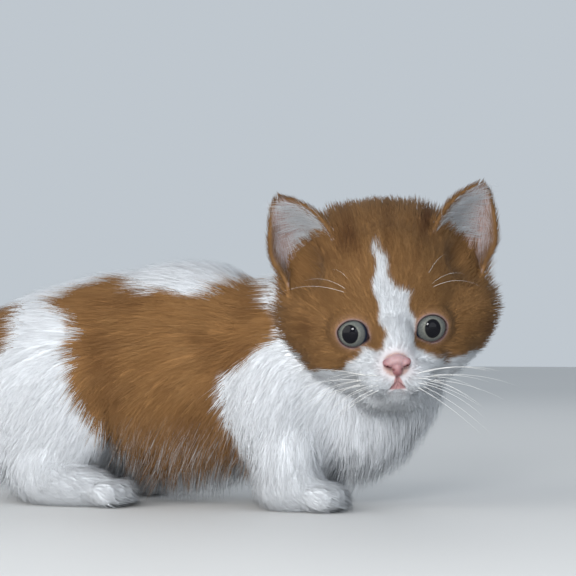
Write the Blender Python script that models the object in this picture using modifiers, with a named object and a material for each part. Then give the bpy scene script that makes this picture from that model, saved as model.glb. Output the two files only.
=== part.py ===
"""A munchkin kitten, orange and white, about seven weeks old, life size.

It stands low on its short legs along +X and turns its head to its right, towards -Y. Every size is in
metres. The flesh is blended from rounded forms, parted into named nodes by thin curved cuts, and covered
with flat locks of coat.
"""

import math
import random
from collections import namedtuple

import bmesh
import bpy
import numpy as np
from mathutils import Euler, Matrix, Vector
from mathutils.bvhtree import BVHTree

MM = 0.001
GAP = 0.3 * MM

# Driving dimensions of the trunk, measured to the outside of the coat.
BACK_HEIGHT = 84.5 * MM
BELLY_HEIGHT = 3.5 * MM
TRUNK_WIDTH = 66 * MM
SHOULDER_X = 8 * MM
LOIN_X = -36 * MM
HIP_X = -80 * MM
RUMP_X = -119 * MM
BREAST_X = 56.5 * MM

# Driving dimensions of the legs: the middle of each paw, and how far it stands from the midline.
LEG_SPREAD = 21 * MM
HIND_SPREAD = 25 * MM
FORE_PAW_X = {"right": 12 * MM, "left": -4 * MM}
HIND_PAW_X = {"right": -64 * MM, "left": -76 * MM}
FORE_PAW_LENGTH = 30 * MM
HIND_PAW_LENGTH = 40 * MM
PAW_HEIGHT = 13.5 * MM
SIDES = {"left": 1, "right": -1}

# Driving dimensions of the head, in its own frame: the face looks along -Y and +X is the cat's left.
HEAD_CENTRE = Vector((36.2 * MM, -9.7 * MM, 68.3 * MM))
HEAD_YAW = math.radians(22.5)
HEAD_PITCH = math.radians(8)
HEAD_ROLL = math.radians(-4)
HEAD_WIDTH = 75 * MM
HEAD_HEIGHT = 68 * MM
EYE_SPACING = 23.2 * MM
EYE_PLACE = Vector((EYE_SPACING / 2, -21.4 * MM, -6.5 * MM))
EYE_RADIUS = 7.2 * MM
EYE_OPENING = 4.8 * MM
LID = 1.3 * MM
NOSE_PLACE = Vector((0, -37.2 * MM, -16.5 * MM))
NOSE_WIDTH = 9 * MM
MOUTH_DROP = 21.3 * MM
EAR_TIP = Vector((32.5 * MM, -4 * MM, 38.0 * MM))
EAR_INNER = Vector((15.5 * MM, -13 * MM, 22 * MM))
EAR_OUTER = Vector((35.2 * MM, -8.5 * MM, 3 * MM))
EAR_BLUNT = 4.5 * MM
EAR_LEAN = 1.0 * MM
EAR_WALL = 1.5 * MM

# The tail runs down behind the rump and levels out clear of the floor.
TAIL_ROUTE = [
    Vector((-106 * MM, 0, 58 * MM)),
    Vector((-122 * MM, 1 * MM, 51 * MM)),
    Vector((-136 * MM, 3 * MM, 36 * MM)),
    Vector((-150 * MM, 8 * MM, 21 * MM)),
    Vector((-168 * MM, 17 * MM, 13 * MM)),
    Vector((-186 * MM, 30 * MM, 13 * MM)),
]
TAIL_ROOT_RADIUS = 10.5 * MM
TAIL_TIP_RADIUS = 5.5 * MM
TAIL_CUTS = (0.46, 0.74)

# How many faces each blended shape is thinned to, before it is parted and cut.
BODY_FACES = 1600
SKULL_FACES = 960
TAIL_FACES = 320
NOSE_FACES = 150

# The coat: the core of each part lies this far inside the tips of its locks.
COAT_REACH = 4.4 * MM
LOW_LEG_REACH = 1.5 * MM
NAPE_REACH = 2.2 * MM
CHEEK_REACH = 3.2 * MM
TAIL_REACH = 3.2 * MM
FLOOR_CLEAR = 2.2 * MM

# A kind of lock: its sizes, how far its tip stands over the core, how deep its root is sunk, how far it may
# swing to a side and how far its tip hangs down off the surface.
Kind = namedtuple("Kind", "length width thick reach sunk swing hang")
BODY_LOCK = Kind(27 * MM, 12.5 * MM, 2.0 * MM, COAT_REACH, 2.6 * MM, 0.35, 0)
BREAST_LOCK = Kind(20 * MM, 10 * MM, 2.0 * MM, COAT_REACH, 2.6 * MM, 0.3, 1 * MM)
FRINGE_LOCK = Kind(13 * MM, 8 * MM, 1.8 * MM, 2.6 * MM, 2.6 * MM, 0.3, 9 * MM)
CHEEK_LOCK = Kind(15 * MM, 7 * MM, 1.8 * MM, CHEEK_REACH, 2.4 * MM, 0.25, 0)
TAIL_LOCK = Kind(21 * MM, 8 * MM, 1.8 * MM, TAIL_REACH, 2.4 * MM, 0.3, 0)
TUFT_LOCK = Kind(13 * MM, 3.6 * MM, 0.9 * MM, 2.6 * MM, 0.8 * MM, 0.1, 0)

# How the locks are spaced: the least way between two roots, along the fringe, and round and along the tail.
ROOT_SPACING = 10 * MM
FRINGE_SPACING = 7.5 * MM
TAIL_ROUND = 4
TUFTS = 4

# How far the model is shifted so that its origin lies on the floor under the middle of its box.
ORIGIN_SHIFT = Vector((58.25 * MM, 3.45 * MM, 0))

ORANGE = (0.42, 0.22, 0.09)
WHITE = (0.84, 0.83, 0.80)
PINK = (0.72, 0.42, 0.38)
IRIS = (0.16, 0.20, 0.20)


def clear_scene():
    for obj in list(bpy.data.objects):
        bpy.data.objects.remove(obj)


def new_collection(name, shown=True):
    made = bpy.data.collections.new(name)
    bpy.context.scene.collection.children.link(made)
    made.hide_render = not shown
    return made


def material(name, colour, roughness):
    made = bpy.data.materials.new(name)
    made.use_nodes = True
    shader = made.node_tree.nodes["Principled BSDF"]
    shader.inputs["Base Color"].default_value = (*colour, 1)
    shader.inputs["Roughness"].default_value = roughness
    shader.inputs["Metallic"].default_value = 0
    return made


def object_of(mesh, name):
    made = bpy.data.objects.new(name, mesh)
    HELPERS.objects.link(made)
    return made


def evaluated(obj, name):
    """The object's mesh as its modifiers leave it, in a new object, with the old one removed."""
    bpy.context.view_layer.update()
    graph = bpy.context.evaluated_depsgraph_get()
    mesh = bpy.data.meshes.new_from_object(obj.evaluated_get(graph))
    made = object_of(mesh, name)
    made.matrix_world = obj.matrix_world
    bpy.data.objects.remove(obj)
    return made


def placed(obj, matrix):
    """Moves an object's mesh itself, so that the object stays at the origin."""
    obj.data.transform(matrix)
    return obj


def egg(centre, radii, turn=(0, 0, 0)):
    """A rounded form: where its middle is, its three half sizes, and its turn in degrees."""
    angles = Euler([math.radians(a) for a in turn])
    return Matrix.LocRotScale(Vector(centre), angles, Vector(radii))


def twins(centre, radii, turn=(0, 0, 0)):
    """The same form on both sides of the YZ plane, for the head in its own frame."""
    x, y, z = centre
    a, b, c = turn
    return [egg((x, y, z), radii, (a, b, c)), egg((-x, y, z), radii, (a, -b, -c))]


def inset(forms, depth):
    return [grown_form(form, -depth) for form in forms]


def grown_form(form, grow):
    place, turn, radii = form.decompose()
    return Matrix.LocRotScale(place, turn, radii + Vector((grow, grow, grow)))


def unit_ball(around, high):
    """The corners and faces of a ball of radius 1."""
    shape = bmesh.new()
    bmesh.ops.create_uvsphere(shape, u_segments=around, v_segments=high, radius=1)
    corners = np.array([v.co for v in shape.verts])
    faces = [[v.index for v in f.verts] for f in shape.faces]
    shape.free()
    return corners, faces


def solid_eggs(name, forms, around=32, high=20):
    """One object that holds every form as a closed ball, stretched and placed."""
    corners, faces = unit_ball(around, high)
    points = []
    polygons = []
    for form in forms:
        matrix = np.array(form)
        first = len(points) * len(corners)
        points.append(corners @ matrix[:3, :3].T + matrix[:3, 3])
        polygons += [[first + i for i in face] for face in faces]
    mesh = bpy.data.meshes.new(name)
    mesh.from_pydata(np.concatenate(points).tolist(), [], polygons)
    return object_of(mesh, name)


def blend(name, forms, voxel, easing, faces, base=None):
    """Fuses forms and an optional base into one skin, eases its seams and thins it to that many faces."""
    obj = solid_eggs(name, forms)
    if base:
        shape = bmesh.new()
        shape.from_mesh(obj.data)
        shape.from_mesh(base.data)
        shape.to_mesh(obj.data)
        shape.free()
    return softened(obj, name, voxel, easing, faces)


def softened(obj, name, voxel, easing, faces):
    """Remakes a closed shape as one even skin, eases it, and may thin it to about that many faces."""
    fuse = obj.modifiers.new("fuse", "REMESH")
    fuse.mode = "VOXEL"
    fuse.voxel_size = voxel
    ease = obj.modifiers.new("ease", "SMOOTH")
    ease.factor = 0.5
    ease.iterations = easing
    obj = evaluated(obj, name)
    if faces:
        thin = obj.modifiers.new("thin", "DECIMATE")
        thin.ratio = faces / (2 * len(obj.data.polygons))
        obj = evaluated(obj, name)
    return obj


def combine(target, others, operation):
    """One Boolean of the target with a set of closed objects, applied, with the others removed."""
    group = bpy.data.collections.new("boolean")
    for other in others:
        group.objects.link(other)
    change = target.modifiers.new("boolean", "BOOLEAN")
    change.operand_type = "COLLECTION"
    change.collection = group
    change.operation = operation
    change.solver = "MANIFOLD"
    name = target.name
    target.name = "before"
    made = evaluated(target, name)
    for other in others:
        bpy.data.objects.remove(other)
    bpy.data.collections.remove(group)
    return made


def copy_of(obj, name="cutter"):
    return object_of(obj.data.copy(), name)


def slab(point, normal, shift=0.0, reach=0.2):
    """A closed cutter that fills the half space in front of a plane, moved along its normal by a shift."""
    normal = Vector(normal).normalized()
    middle = Vector(point) + normal * (shift + reach / 2)
    shape = bmesh.new()
    turn = normal.to_track_quat("Z", "Y")
    matrix = Matrix.LocRotScale(middle, turn, Vector((reach * 2, reach * 2, reach)))
    bmesh.ops.create_cube(shape, size=1, matrix=matrix)
    mesh = bpy.data.meshes.new("cutter")
    shape.to_mesh(mesh)
    shape.free()
    return object_of(mesh, "cutter")


def grown(obj, width):
    """A copy whose surface lies outwards by a width, for cutting a neighbour clear of it."""
    made = copy_of(obj)
    out = made.modifiers.new("out", "DISPLACE")
    out.mid_level = 0
    out.strength = width
    return evaluated(made, "cutter")


def tube(name, points, radius, sides=6):
    """A closed tube of one radius through points, as a mesh."""
    curve = bpy.data.curves.new(name, "CURVE")
    curve.dimensions = "3D"
    curve.bevel_depth = radius
    curve.bevel_resolution = (sides - 4) // 2
    curve.use_fill_caps = True
    spline = curve.splines.new("POLY")
    spline.points.add(len(points) - 1)
    for corner, point in zip(spline.points, points):
        corner.co = (*point, 1)
    made = evaluated(object_of(curve, name), name)
    shape = bmesh.new()
    shape.from_mesh(made.data)
    bmesh.ops.remove_doubles(shape, verts=shape.verts, dist=1e-6)
    bmesh.ops.recalc_face_normals(shape, faces=shape.faces)
    shape.to_mesh(made.data)
    shape.free()
    return made


def largest(obj):
    """Keeps only the largest closed surface of an object."""
    shape = bmesh.new()
    shape.from_mesh(obj.data)
    left = set(shape.faces)
    bodies = []
    while left:
        body = {left.pop()}
        rim = set(body)
        while rim:
            near = {n for f in rim for e in f.edges for n in e.link_faces}
            rim = near & left
            left -= rim
            body |= rim
        bodies.append(body)
    bodies.sort(key=lambda faces: sum(f.calc_area() for f in faces))
    scraps = {vert for faces in bodies[:-1] for f in faces for vert in f.verts}
    bmesh.ops.delete(shape, geom=list(scraps), context="VERTS")
    shape.to_mesh(obj.data)
    shape.free()
    return obj


def part_off(whole, name, region):
    """Cuts the node inside a region out of the whole, and leaves a gap between the two."""
    piece = copy_of(whole, name)
    piece = combine(piece, [solid_eggs("cutter", [region], 16, 10)], "INTERSECT")
    rest = combine(whole, [solid_eggs("cutter", [grown_form(region, GAP)], 16, 10)], "DIFFERENCE")
    return largest(piece), rest


def smooth_route(points, count):
    """Evenly numbered points on a Catmull-Rom curve through the route's own points."""
    ends = [2 * points[0] - points[1], *points, 2 * points[-1] - points[-2]]
    made = []
    for step in range(count):
        place = step * (len(points) - 1) / (count - 1)
        i = min(int(place), len(points) - 2)
        t = place - i
        a, b, c, d = ends[i : i + 4]
        curve = 2 * b + (c - a) * t + (2 * a - 5 * b + 4 * c - d) * t * t
        made.append((curve + (3 * b - a - 3 * c + d) * t**3) / 2)
    return made


def trunk_forms():
    """The barrel of the body, from the rump to the breast, and the neck up to the back of the head."""
    middle = (BACK_HEIGHT + BELLY_HEIGHT) / 2
    half = (BACK_HEIGHT - BELLY_HEIGHT) / 2
    wide = TRUNK_WIDTH / 2
    rump = egg((HIP_X, 0, middle - 3 * MM), (HIP_X - RUMP_X, wide - 1.5 * MM, half - 4.5 * MM))
    loin = egg((LOIN_X, 0, middle + 0.5 * MM), (46 * MM, wide, half))
    spine = egg((HIP_X + 25 * MM, 0, BACK_HEIGHT - 30 * MM), (48 * MM, wide - 7 * MM, 27.5 * MM))
    ribs = egg((SHOULDER_X - 4 * MM, 0, middle - 1 * MM), (38 * MM, wide - 2 * MM, half - 2 * MM))
    breast = egg((BREAST_X - 26 * MM, -1 * MM, 41 * MM), (26 * MM, 25 * MM, 24 * MM))
    bib = egg((26 * MM, -1 * MM, 30.5 * MM), (23 * MM, 22 * MM, 21.5 * MM))
    neck = egg((24 * MM, 1 * MM, 62 * MM), (24 * MM, 25 * MM, 21 * MM), (0, -20, 0))
    return inset([rump, loin, spine, ribs, breast, bib], COAT_REACH) + inset([neck], NAPE_REACH)


def leg_forms():
    """Shoulders, forelegs, thighs and hocks of both sides, without the paws."""
    upper = []
    lower = []
    for side, sign in SIDES.items():
        fore = FORE_PAW_X[side]
        hind = HIND_PAW_X[side]
        y = sign * LEG_SPREAD
        upper.append(egg((fore - 10 * MM, y, 36 * MM), (17 * MM, 13 * MM, 24 * MM)))
        lower.append(egg((fore - 5 * MM, y, 17 * MM), (12 * MM, 10.5 * MM, 17 * MM)))
        y = sign * HIND_SPREAD
        upper.append(egg((hind - 14 * MM, y - sign * 4 * MM, 30 * MM), (27 * MM, 13 * MM, 27 * MM)))
        lower.append(egg((hind - 14 * MM, y, 12 * MM), (11 * MM, 8.5 * MM, 12 * MM), (0, 25, 0)))
    return inset(upper, COAT_REACH * 0.9) + inset(lower, LOW_LEG_REACH)


def paw_forms(middle_x, middle_y, length):
    """A palm and four toes, the two middle ones ahead of the outer ones."""
    toe = 4.4 * MM
    palm_half = length / 2 - toe / 2
    forms = [egg((middle_x - toe / 2, middle_y, 6 * MM), (palm_half, 8.2 * MM, 8 * MM))]
    for number in range(4):
        across = (number - 1.5) * 4.5 * MM
        ahead = length / 2 - toe - (1.6 * MM if number in (0, 3) else 0)
        place = (middle_x + ahead, middle_y + across, 4.6 * MM)
        forms.append(egg(place, (toe * 1.3, toe * 0.72, toe * 1.15)))
    return forms


def tail_forms():
    """A row of overlapping eggs along the tail's route, thinner towards the tip."""
    points = smooth_route(TAIL_ROUTE, 40)
    forms = []
    for number, point in enumerate(points):
        share = number / (len(points) - 1)
        radius = TAIL_ROOT_RADIUS + (TAIL_TIP_RADIUS - TAIL_ROOT_RADIUS) * share
        forms.append(egg(point, (radius, radius, radius)))
    return inset(forms, TAIL_REACH)


def body_whole():
    trunk = blend("trunk", trunk_forms(), 1.8 * MM, 30, 0)
    forms = leg_forms()
    for side, sign in SIDES.items():
        forms += paw_forms(FORE_PAW_X[side], sign * (LEG_SPREAD + 1 * MM), FORE_PAW_LENGTH)
        forms += paw_forms(HIND_PAW_X[side], sign * (HIND_SPREAD + 2 * MM), HIND_PAW_LENGTH)
    whole = blend("whole", forms, 1.2 * MM, 6, BODY_FACES, trunk)
    bpy.data.objects.remove(trunk)
    return combine(whole, [slab((0, 0, 0), (0, 0, -1))], "DIFFERENCE")


def body_nodes(rest):
    """The paws, legs, neck and torso, parted off one body."""
    regions = {}
    for side, sign in SIDES.items():
        place = (FORE_PAW_X[side], sign * (LEG_SPREAD + 1 * MM), 0)
        regions["forepaw_" + side] = egg(place, (FORE_PAW_LENGTH / 2 + 5 * MM, 13 * MM, PAW_HEIGHT))
        place = (HIND_PAW_X[side], sign * (HIND_SPREAD + 2 * MM), 0)
        regions["hindpaw_" + side] = egg(place, (HIND_PAW_LENGTH / 2 + 6 * MM, 14 * MM, PAW_HEIGHT))
    for side, sign in SIDES.items():
        place = (FORE_PAW_X[side] - 9 * MM, sign * 31 * MM, 27 * MM)
        regions["foreleg_" + side] = egg(place, (19 * MM, 17 * MM, 31 * MM), (0, -8, 0))
        place = (HIND_PAW_X[side] - 14 * MM, sign * 32 * MM, 26 * MM)
        regions["hindleg_" + side] = egg(place, (33 * MM, 16 * MM, 32 * MM))
    nodes = {}
    for name, region in regions.items():
        nodes[name], rest = part_off(rest, name, region)
    place, slant = Vector((2 * MM, 0, 75 * MM)), Vector((0.70, 0, 0.71))
    neck = copy_of(rest, "neck")
    nodes["neck"] = largest(combine(neck, [slab(place, slant, GAP)], "INTERSECT"))
    nodes["torso"] = largest(combine(rest, [slab(place, slant)], "DIFFERENCE"))

    def owner(point):
        for name, region in regions.items():
            if (region.inverted() @ point).length < 1:
                return name
        return "neck" if (point - place).dot(slant) > 0 else "torso"

    return nodes, owner


def tail_nodes(torso):
    """Three lengths of tail, the first cut to fit the rump, and the surface of the whole tail."""
    whole = blend("tail", tail_forms(), 0.9 * MM, 6, TAIL_FACES)
    whole = largest(combine(whole, [grown(torso, GAP)], "DIFFERENCE"))
    tree = BVHTree.FromObject(whole, bpy.context.evaluated_depsgraph_get())
    points = smooth_route(TAIL_ROUTE, 101)
    nodes = {}
    for name, share in zip(("tail_tip", "tail_mid"), reversed(TAIL_CUTS)):
        at = points[round(share * 100)]
        along = points[round(share * 100) + 2] - at
        piece = copy_of(whole, name)
        nodes[name] = largest(combine(piece, [slab(at, along, GAP)], "INTERSECT"))
        whole = largest(combine(whole, [slab(at, along)], "DIFFERENCE"))
    whole.name = "tail_base"
    nodes["tail_base"] = whole
    return nodes, tree


def head_forms():
    """Skull, brow, cheeks, muzzle, whisker pads and chin, in the head's own frame."""
    half = HEAD_WIDTH / 2
    top = HEAD_HEIGHT / 2
    crown = egg((0, 4 * MM, 5 * MM), (half - 4 * MM, 33 * MM, top - 5.5 * MM))
    brow = egg((0, -10 * MM, 4 * MM), (25 * MM, 21.5 * MM, 24 * MM))
    muzzle = egg((0, -29 * MM, -19.5 * MM), (11 * MM, 8 * MM, 7.5 * MM))
    bridge = egg((0, -29.5 * MM, -11 * MM), (5.2 * MM, 8 * MM, 8.5 * MM), (-25, 0, 0))
    chin = egg((0, -27.5 * MM, -27 * MM), (6.5 * MM, 6.5 * MM, 4.6 * MM))
    jaw = egg((0, -12 * MM, -20 * MM), (22 * MM, 19 * MM, 11 * MM))
    cheeks = twins((18 * MM, -3 * MM, -5 * MM), (half - 18 * MM, 22 * MM, 19 * MM))
    under_eyes = twins((14 * MM, -13.5 * MM, -14 * MM), (14 * MM, 14 * MM, 11.5 * MM))
    pads = twins((5.4 * MM, -31.5 * MM, -20.5 * MM), (7.2 * MM, 6.2 * MM, 5.6 * MM), (0, 0, -12))
    return [crown, brow, muzzle, bridge, chin, jaw, *inset(cheeks, CHEEK_REACH), *under_eyes, *pads]


def skull():
    """The head with shallow orbits and with the hollow that each ear opens into."""
    whole = blend("skull", head_forms(), 0.9 * MM, 7, 0)
    x, y, z = EYE_PLACE
    orbits = twins((x, y - 15 * MM, z), (8 * MM, 9.2 * MM, 7.6 * MM))
    hollows = twins((26.5 * MM, -13.5 * MM, 17 * MM), (6.2 * MM, 8 * MM, 11 * MM), (0, 32, 0))
    hollows += twins((27.5 * MM, -15 * MM, 12 * MM), (6 * MM, 8.5 * MM, 8 * MM))
    for form in orbits + hollows:
        whole = combine(whole, [solid_eggs("cutter", [form])], "DIFFERENCE")
    for lids in twins(EYE_PLACE, [EYE_RADIUS + LID] * 3):
        whole = combine(whole, [solid_eggs("lids", [lids])], "UNION")
    return softened(whole, "skull", 0.9 * MM, 4, SKULL_FACES)


def mirrored(point, sign):
    return Vector((point[0] * sign, point[1], point[2]))


def lid_ring(sign):
    """The rim of both lids, a ring that stands just proud of the eyeball round its opening."""
    middle = mirrored(EYE_PLACE, sign)
    look = eye_direction(sign)
    radial = EYE_OPENING + 0.75 * MM
    ahead = math.sqrt((EYE_RADIUS + 0.8 * MM) ** 2 - radial**2)
    bpy.ops.mesh.primitive_torus_add(
        major_segments=20, minor_segments=6, major_radius=radial, minor_radius=0.8 * MM
    )
    ring = bpy.context.object
    turn = look.to_track_quat("Z", "Y")
    made = object_of(ring.data, "lids")
    bpy.data.objects.remove(ring)
    return placed(made, Matrix.LocRotScale(middle + look * ahead, turn, None))


def eye_direction(sign):
    return Vector((0.12 * sign, -1, 0.02)).normalized()


def on_face(tree, x, z, lift=0.0):
    """The point of the face in front of a place across and up, lifted along its normal."""
    point, normal, _, _ = tree.ray_cast(Vector((x, -80 * MM, z)), Vector((0, 1, 0)))
    return point + normal * lift


def mouth_paths():
    """The philtrum and the two arcs of the mouth line, as places across and up."""
    philtrum = [(0, NOSE_PLACE.z - 3.4 * MM - 0.7 * MM * i) for i in range(5)]
    arc = []
    for step in range(9):
        share = step / 8
        across = 10.5 * MM * share
        drop = MOUTH_DROP + 2.6 * MM * math.sin(share * math.pi * 0.72)
        arc.append((across, -drop))
    return [philtrum, arc, [(-x, z) for x, z in arc]]


def face_of(plain):
    """The head with its lids, lips, mouth line, eye sockets and the seat of the nose."""
    tree = BVHTree.FromObject(plain, bpy.context.evaluated_depsgraph_get())
    added = [lid_ring(sign) for sign in (1, -1)]
    grooves = []
    for path in mouth_paths():
        grooves.append(tube("groove", [on_face(tree, x, z, 0.15 * MM) for x, z in path], 0.5 * MM))
        if path[0][0] != path[-1][0]:
            added.append(tube("lip", [on_face(tree, x, z - 0.75 * MM) for x, z in path], 0.7 * MM))
    head = combine(plain, added, "UNION")
    for sign in (1, -1):
        look = eye_direction(sign)
        ahead = mirrored(EYE_PLACE, sign) + look * (EYE_RADIUS + 3 * MM)
        size = Vector((EYE_OPENING, EYE_OPENING, 6.5 * MM))
        window = Matrix.LocRotScale(ahead, look.to_track_quat("Z", "Y"), size)
        head = combine(head, [solid_eggs("cutter", [window], 16, 12)], "DIFFERENCE")
    head = combine(head, grooves, "DIFFERENCE")
    for socket in twins(EYE_PLACE, [EYE_RADIUS + GAP] * 3):
        head = combine(head, [solid_eggs("cutter", [socket], 16, 12)], "DIFFERENCE")
    head = combine(head, [grown(blend("cutter", nose_forms(), 0.35 * MM, 3, NOSE_FACES), GAP)], "DIFFERENCE")
    head.name = "head"
    return largest(head)


def nose_forms():
    x, y, z = NOSE_PLACE
    wide = NOSE_WIDTH / 2
    return [
        egg((x, y + 0.4 * MM, z + 1.8 * MM), (wide * 0.72, 2.7 * MM, 2.3 * MM)),
        egg((x, y + 0.3 * MM, z - 0.9 * MM), (wide * 0.42, 2.5 * MM, 2.6 * MM)),
        *twins((wide * 0.58, y + 0.5 * MM, z + 0.9 * MM), (wide * 0.4, 2.5 * MM, 2.0 * MM)),
    ]


def nose_leather():
    """The pink nose: a broad top, two wings and a narrow tip, with a nostril in each wing."""
    nose = blend("nose", nose_forms(), 0.35 * MM, 3, NOSE_FACES)
    for sign in (1, -1):
        place = NOSE_PLACE + Vector((2.7 * MM * sign, -2.5 * MM, 0.7 * MM))
        nostril = egg(place, (1.2 * MM, 1.6 * MM, 0.7 * MM), (0, 20 * sign, 0))
        nose = combine(nose, [solid_eggs("nostril", [nostril], 8, 6)], "DIFFERENCE")
    nose.name = "nose"
    return largest(nose)


def ear_point(across, up, sign):
    """A point of the ear's cup: across from its inner to its outer edge, and up from base to blunt tip."""
    middle = (EAR_INNER + EAR_OUTER) / 2
    half = (EAR_OUTER - EAR_INNER) / 2
    deep = Vector((0.05, 0.9, 0.3)).normalized() * 10 * MM
    angle = across * math.pi
    base = middle - half * math.cos(angle) + deep * math.sin(angle)
    off = across - 0.5
    tip = EAR_TIP + Vector((EAR_BLUNT * off, 0, -5 * MM * off * off))
    narrow = 1 - 0.06 * up
    swell = math.sin(max(up, 0) * math.pi) * Vector((2.9 * MM * across - 1.5 * MM, -0.6 * MM, 1.5 * MM))
    point = base.lerp(tip, up * narrow) + swell
    point.x += sign * EAR_LEAN * (1 + up) / 2
    return mirrored(point, sign)


def ear(sign, name, head):
    """A thin cup, open to the front, rooted in the head and cut to fit it."""
    columns, rows = 8, 7
    points = []
    for row in range(rows):
        up = -0.28 + 1.23 * row / (rows - 1)
        for column in range(columns):
            points.append(ear_point(column / (columns - 1), up, sign))
    faces = []
    for row in range(rows - 1):
        for column in range(columns - 1):
            a = row * columns + column
            quad = [a, a + 1, a + columns + 1, a + columns]
            faces += [[quad[0], quad[1], quad[2]], [quad[0], quad[2], quad[3]]]
    mesh = bpy.data.meshes.new(name)
    mesh.from_pydata(points, [], faces if sign > 0 else [f[::-1] for f in faces])
    wall = object_of(mesh, name)
    thick = wall.modifiers.new("wall", "SOLIDIFY")
    thick.thickness = EAR_WALL
    thick.offset = 0
    wall = evaluated(wall, name)
    return largest(combine(wall, [grown(head, GAP)], "DIFFERENCE"))


def head_nodes():
    """The head and what sits in or on it, in the head's own frame."""
    plain = skull()
    nodes = {}
    for side, sign in SIDES.items():
        nodes["ear_" + side] = ear(sign, "ear_" + side, plain)
        ball = egg(mirrored(EYE_PLACE, sign), [EYE_RADIUS] * 3)
        nodes["eye_" + side] = solid_eggs("eye_" + side, [ball], 14, 9)
    nodes["nose"] = nose_leather()
    nodes["head"] = face_of(copy_of(plain, "face"))
    return nodes, plain


def lock_spine(tree, root, lie, kind, share, swing, steps):
    """A lock's spine: it leaves the core along the lie, bends to a side and ends flat on the outline."""
    here = root
    spine = []
    for step in range(steps + 1):
        along_it = step / steps
        spot, normal, _, _ = tree.find_nearest(here)
        along = (lie - normal * lie.dot(normal)).normalized()
        along = (along + normal.cross(along) * swing * along_it).normalized()
        rise = math.sin(along_it * math.pi / 2) ** 0.85
        point = spot + normal * (-kind.sunk + (kind.sunk + kind.reach * share**0.5) * rise)
        point.z = max(point.z - kind.hang * share * along_it**2, FLOOR_CLEAR)
        spine.append((point, normal, along))
        here = spot + along * kind.length * share / steps
    return spine


def lock(spine, width, thick, margin=0.0):
    """A flat lock of four sides round a spine, widest near its root and tapered to its tip."""
    points = []
    steps = len(spine) - 1
    for step, (point, normal, along) in enumerate(spine[:-1]):
        share = step / steps
        broad = width * (0.55 + 1.6 * share - 1.75 * share**2) / 2 + margin
        deep = thick * (1 - 0.6 * share) / 2 + margin
        side = normal.cross(along)
        points += [point + side * broad, point + normal * deep, point - side * broad, point - normal * deep]
    points.append(spine[-1][0] + spine[-1][2] * margin)
    faces = [(0, 1, 2), (0, 2, 3)]
    for ring in range(steps - 1):
        for corner in range(4):
            a = ring * 4 + corner
            b = ring * 4 + (corner + 1) % 4
            faces += [(a, a + 4, b + 4), (a, b + 4, b)]
    last = (steps - 1) * 4
    faces += [(last + corner, len(points) - 1, last + (corner + 1) % 4) for corner in range(4)]
    return points, faces


class Coat:
    """Roots locks on the nodes and keeps each one clear of every other node and its locks."""

    def __init__(self, nodes):
        graph = bpy.context.evaluated_depsgraph_get()
        self.nodes = nodes
        self.cores = {name: BVHTree.FromObject(node, graph) for name, node in nodes.items()}
        self.locks = {name: [] for name in nodes}
        self.trees = {name: [] for name in nodes}
        self.draw = random.Random(5)

    def clear(self, name, points, faces):
        tree = BVHTree.FromPolygons(points, faces)
        for other, core in self.cores.items():
            if other == name:
                continue
            if tree.overlap(core) or any(tree.overlap(near) for near in self.trees[other]):
                return False
        return True

    def grow(self, name, tree, root, lie, kind, steps=3):
        """Adds one lock that follows a surface, shortened or left out where it would cross another node."""
        swing = kind.swing * self.draw.uniform(-1, 1)
        size = self.draw.uniform(0.85, 1.08)
        for share in (size, size * 0.8, size * 0.62, size * 0.48):
            spine = lock_spine(tree, root, lie, kind, share, swing, steps)
            wide = kind.width * (0.5 + 0.5 * share)
            if self.clear(name, *lock(spine, wide, kind.thick, 1.2 * GAP)):
                points, faces = lock(spine, wide, kind.thick)
                self.locks[name].append((points, faces))
                self.trees[name].append(BVHTree.FromPolygons(points, faces))
                return True
        return False

    def fuse(self):
        """Joins each node's locks to it in one union."""
        for name, locks in self.locks.items():
            pieces = []
            for points, faces in locks:
                mesh = bpy.data.meshes.new("lock")
                mesh.from_pydata(points, [], faces)
                shape = bmesh.new()
                shape.from_mesh(mesh)
                bmesh.ops.recalc_face_normals(shape, faces=shape.faces)
                shape.to_mesh(mesh)
                shape.free()
                pieces.append(object_of(mesh, "lock"))
            if pieces:
                self.nodes[name] = largest(combine(self.nodes[name], pieces, "UNION"))
        return self.nodes


def body_lie(point):
    """Backwards along the back, and more and more downwards towards the belly and over the breast."""
    down = min(max((66 * MM - point.z) / (60 * MM), 0.05), 0.85)
    if point.x > 24 * MM:
        down = 0.95
    return Vector((-(1 - down), 0, -down))


def trunk_starts():
    """Rays into the trunk from outside it: rows round it, and fans over the breast and the rump."""
    middle = 44 * MM
    starts = []
    for row in range(10):
        for number in range(9):
            angle = math.radians(-110 + 27.5 * (number + 0.5 * (row % 2)))
            centre = Vector((29 * MM - 16 * MM * row, 0, middle))
            starts.append((centre, Vector((0, math.sin(angle), math.cos(angle)))))
    for rise in (-40, -16, 8):
        for number in range(6):
            turn = math.radians(-75 + 30 * number + (15 if rise == -16 else 0))
            level = math.cos(math.radians(rise))
            ray = Vector((level * math.cos(turn), level * math.sin(turn), math.sin(math.radians(rise))))
            starts.append((Vector((22 * MM, 0, 44 * MM)), ray))
            starts.append((Vector((-88 * MM, 0, middle)), Vector((-ray.x, ray.y, ray.z))))
    return starts


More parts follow.
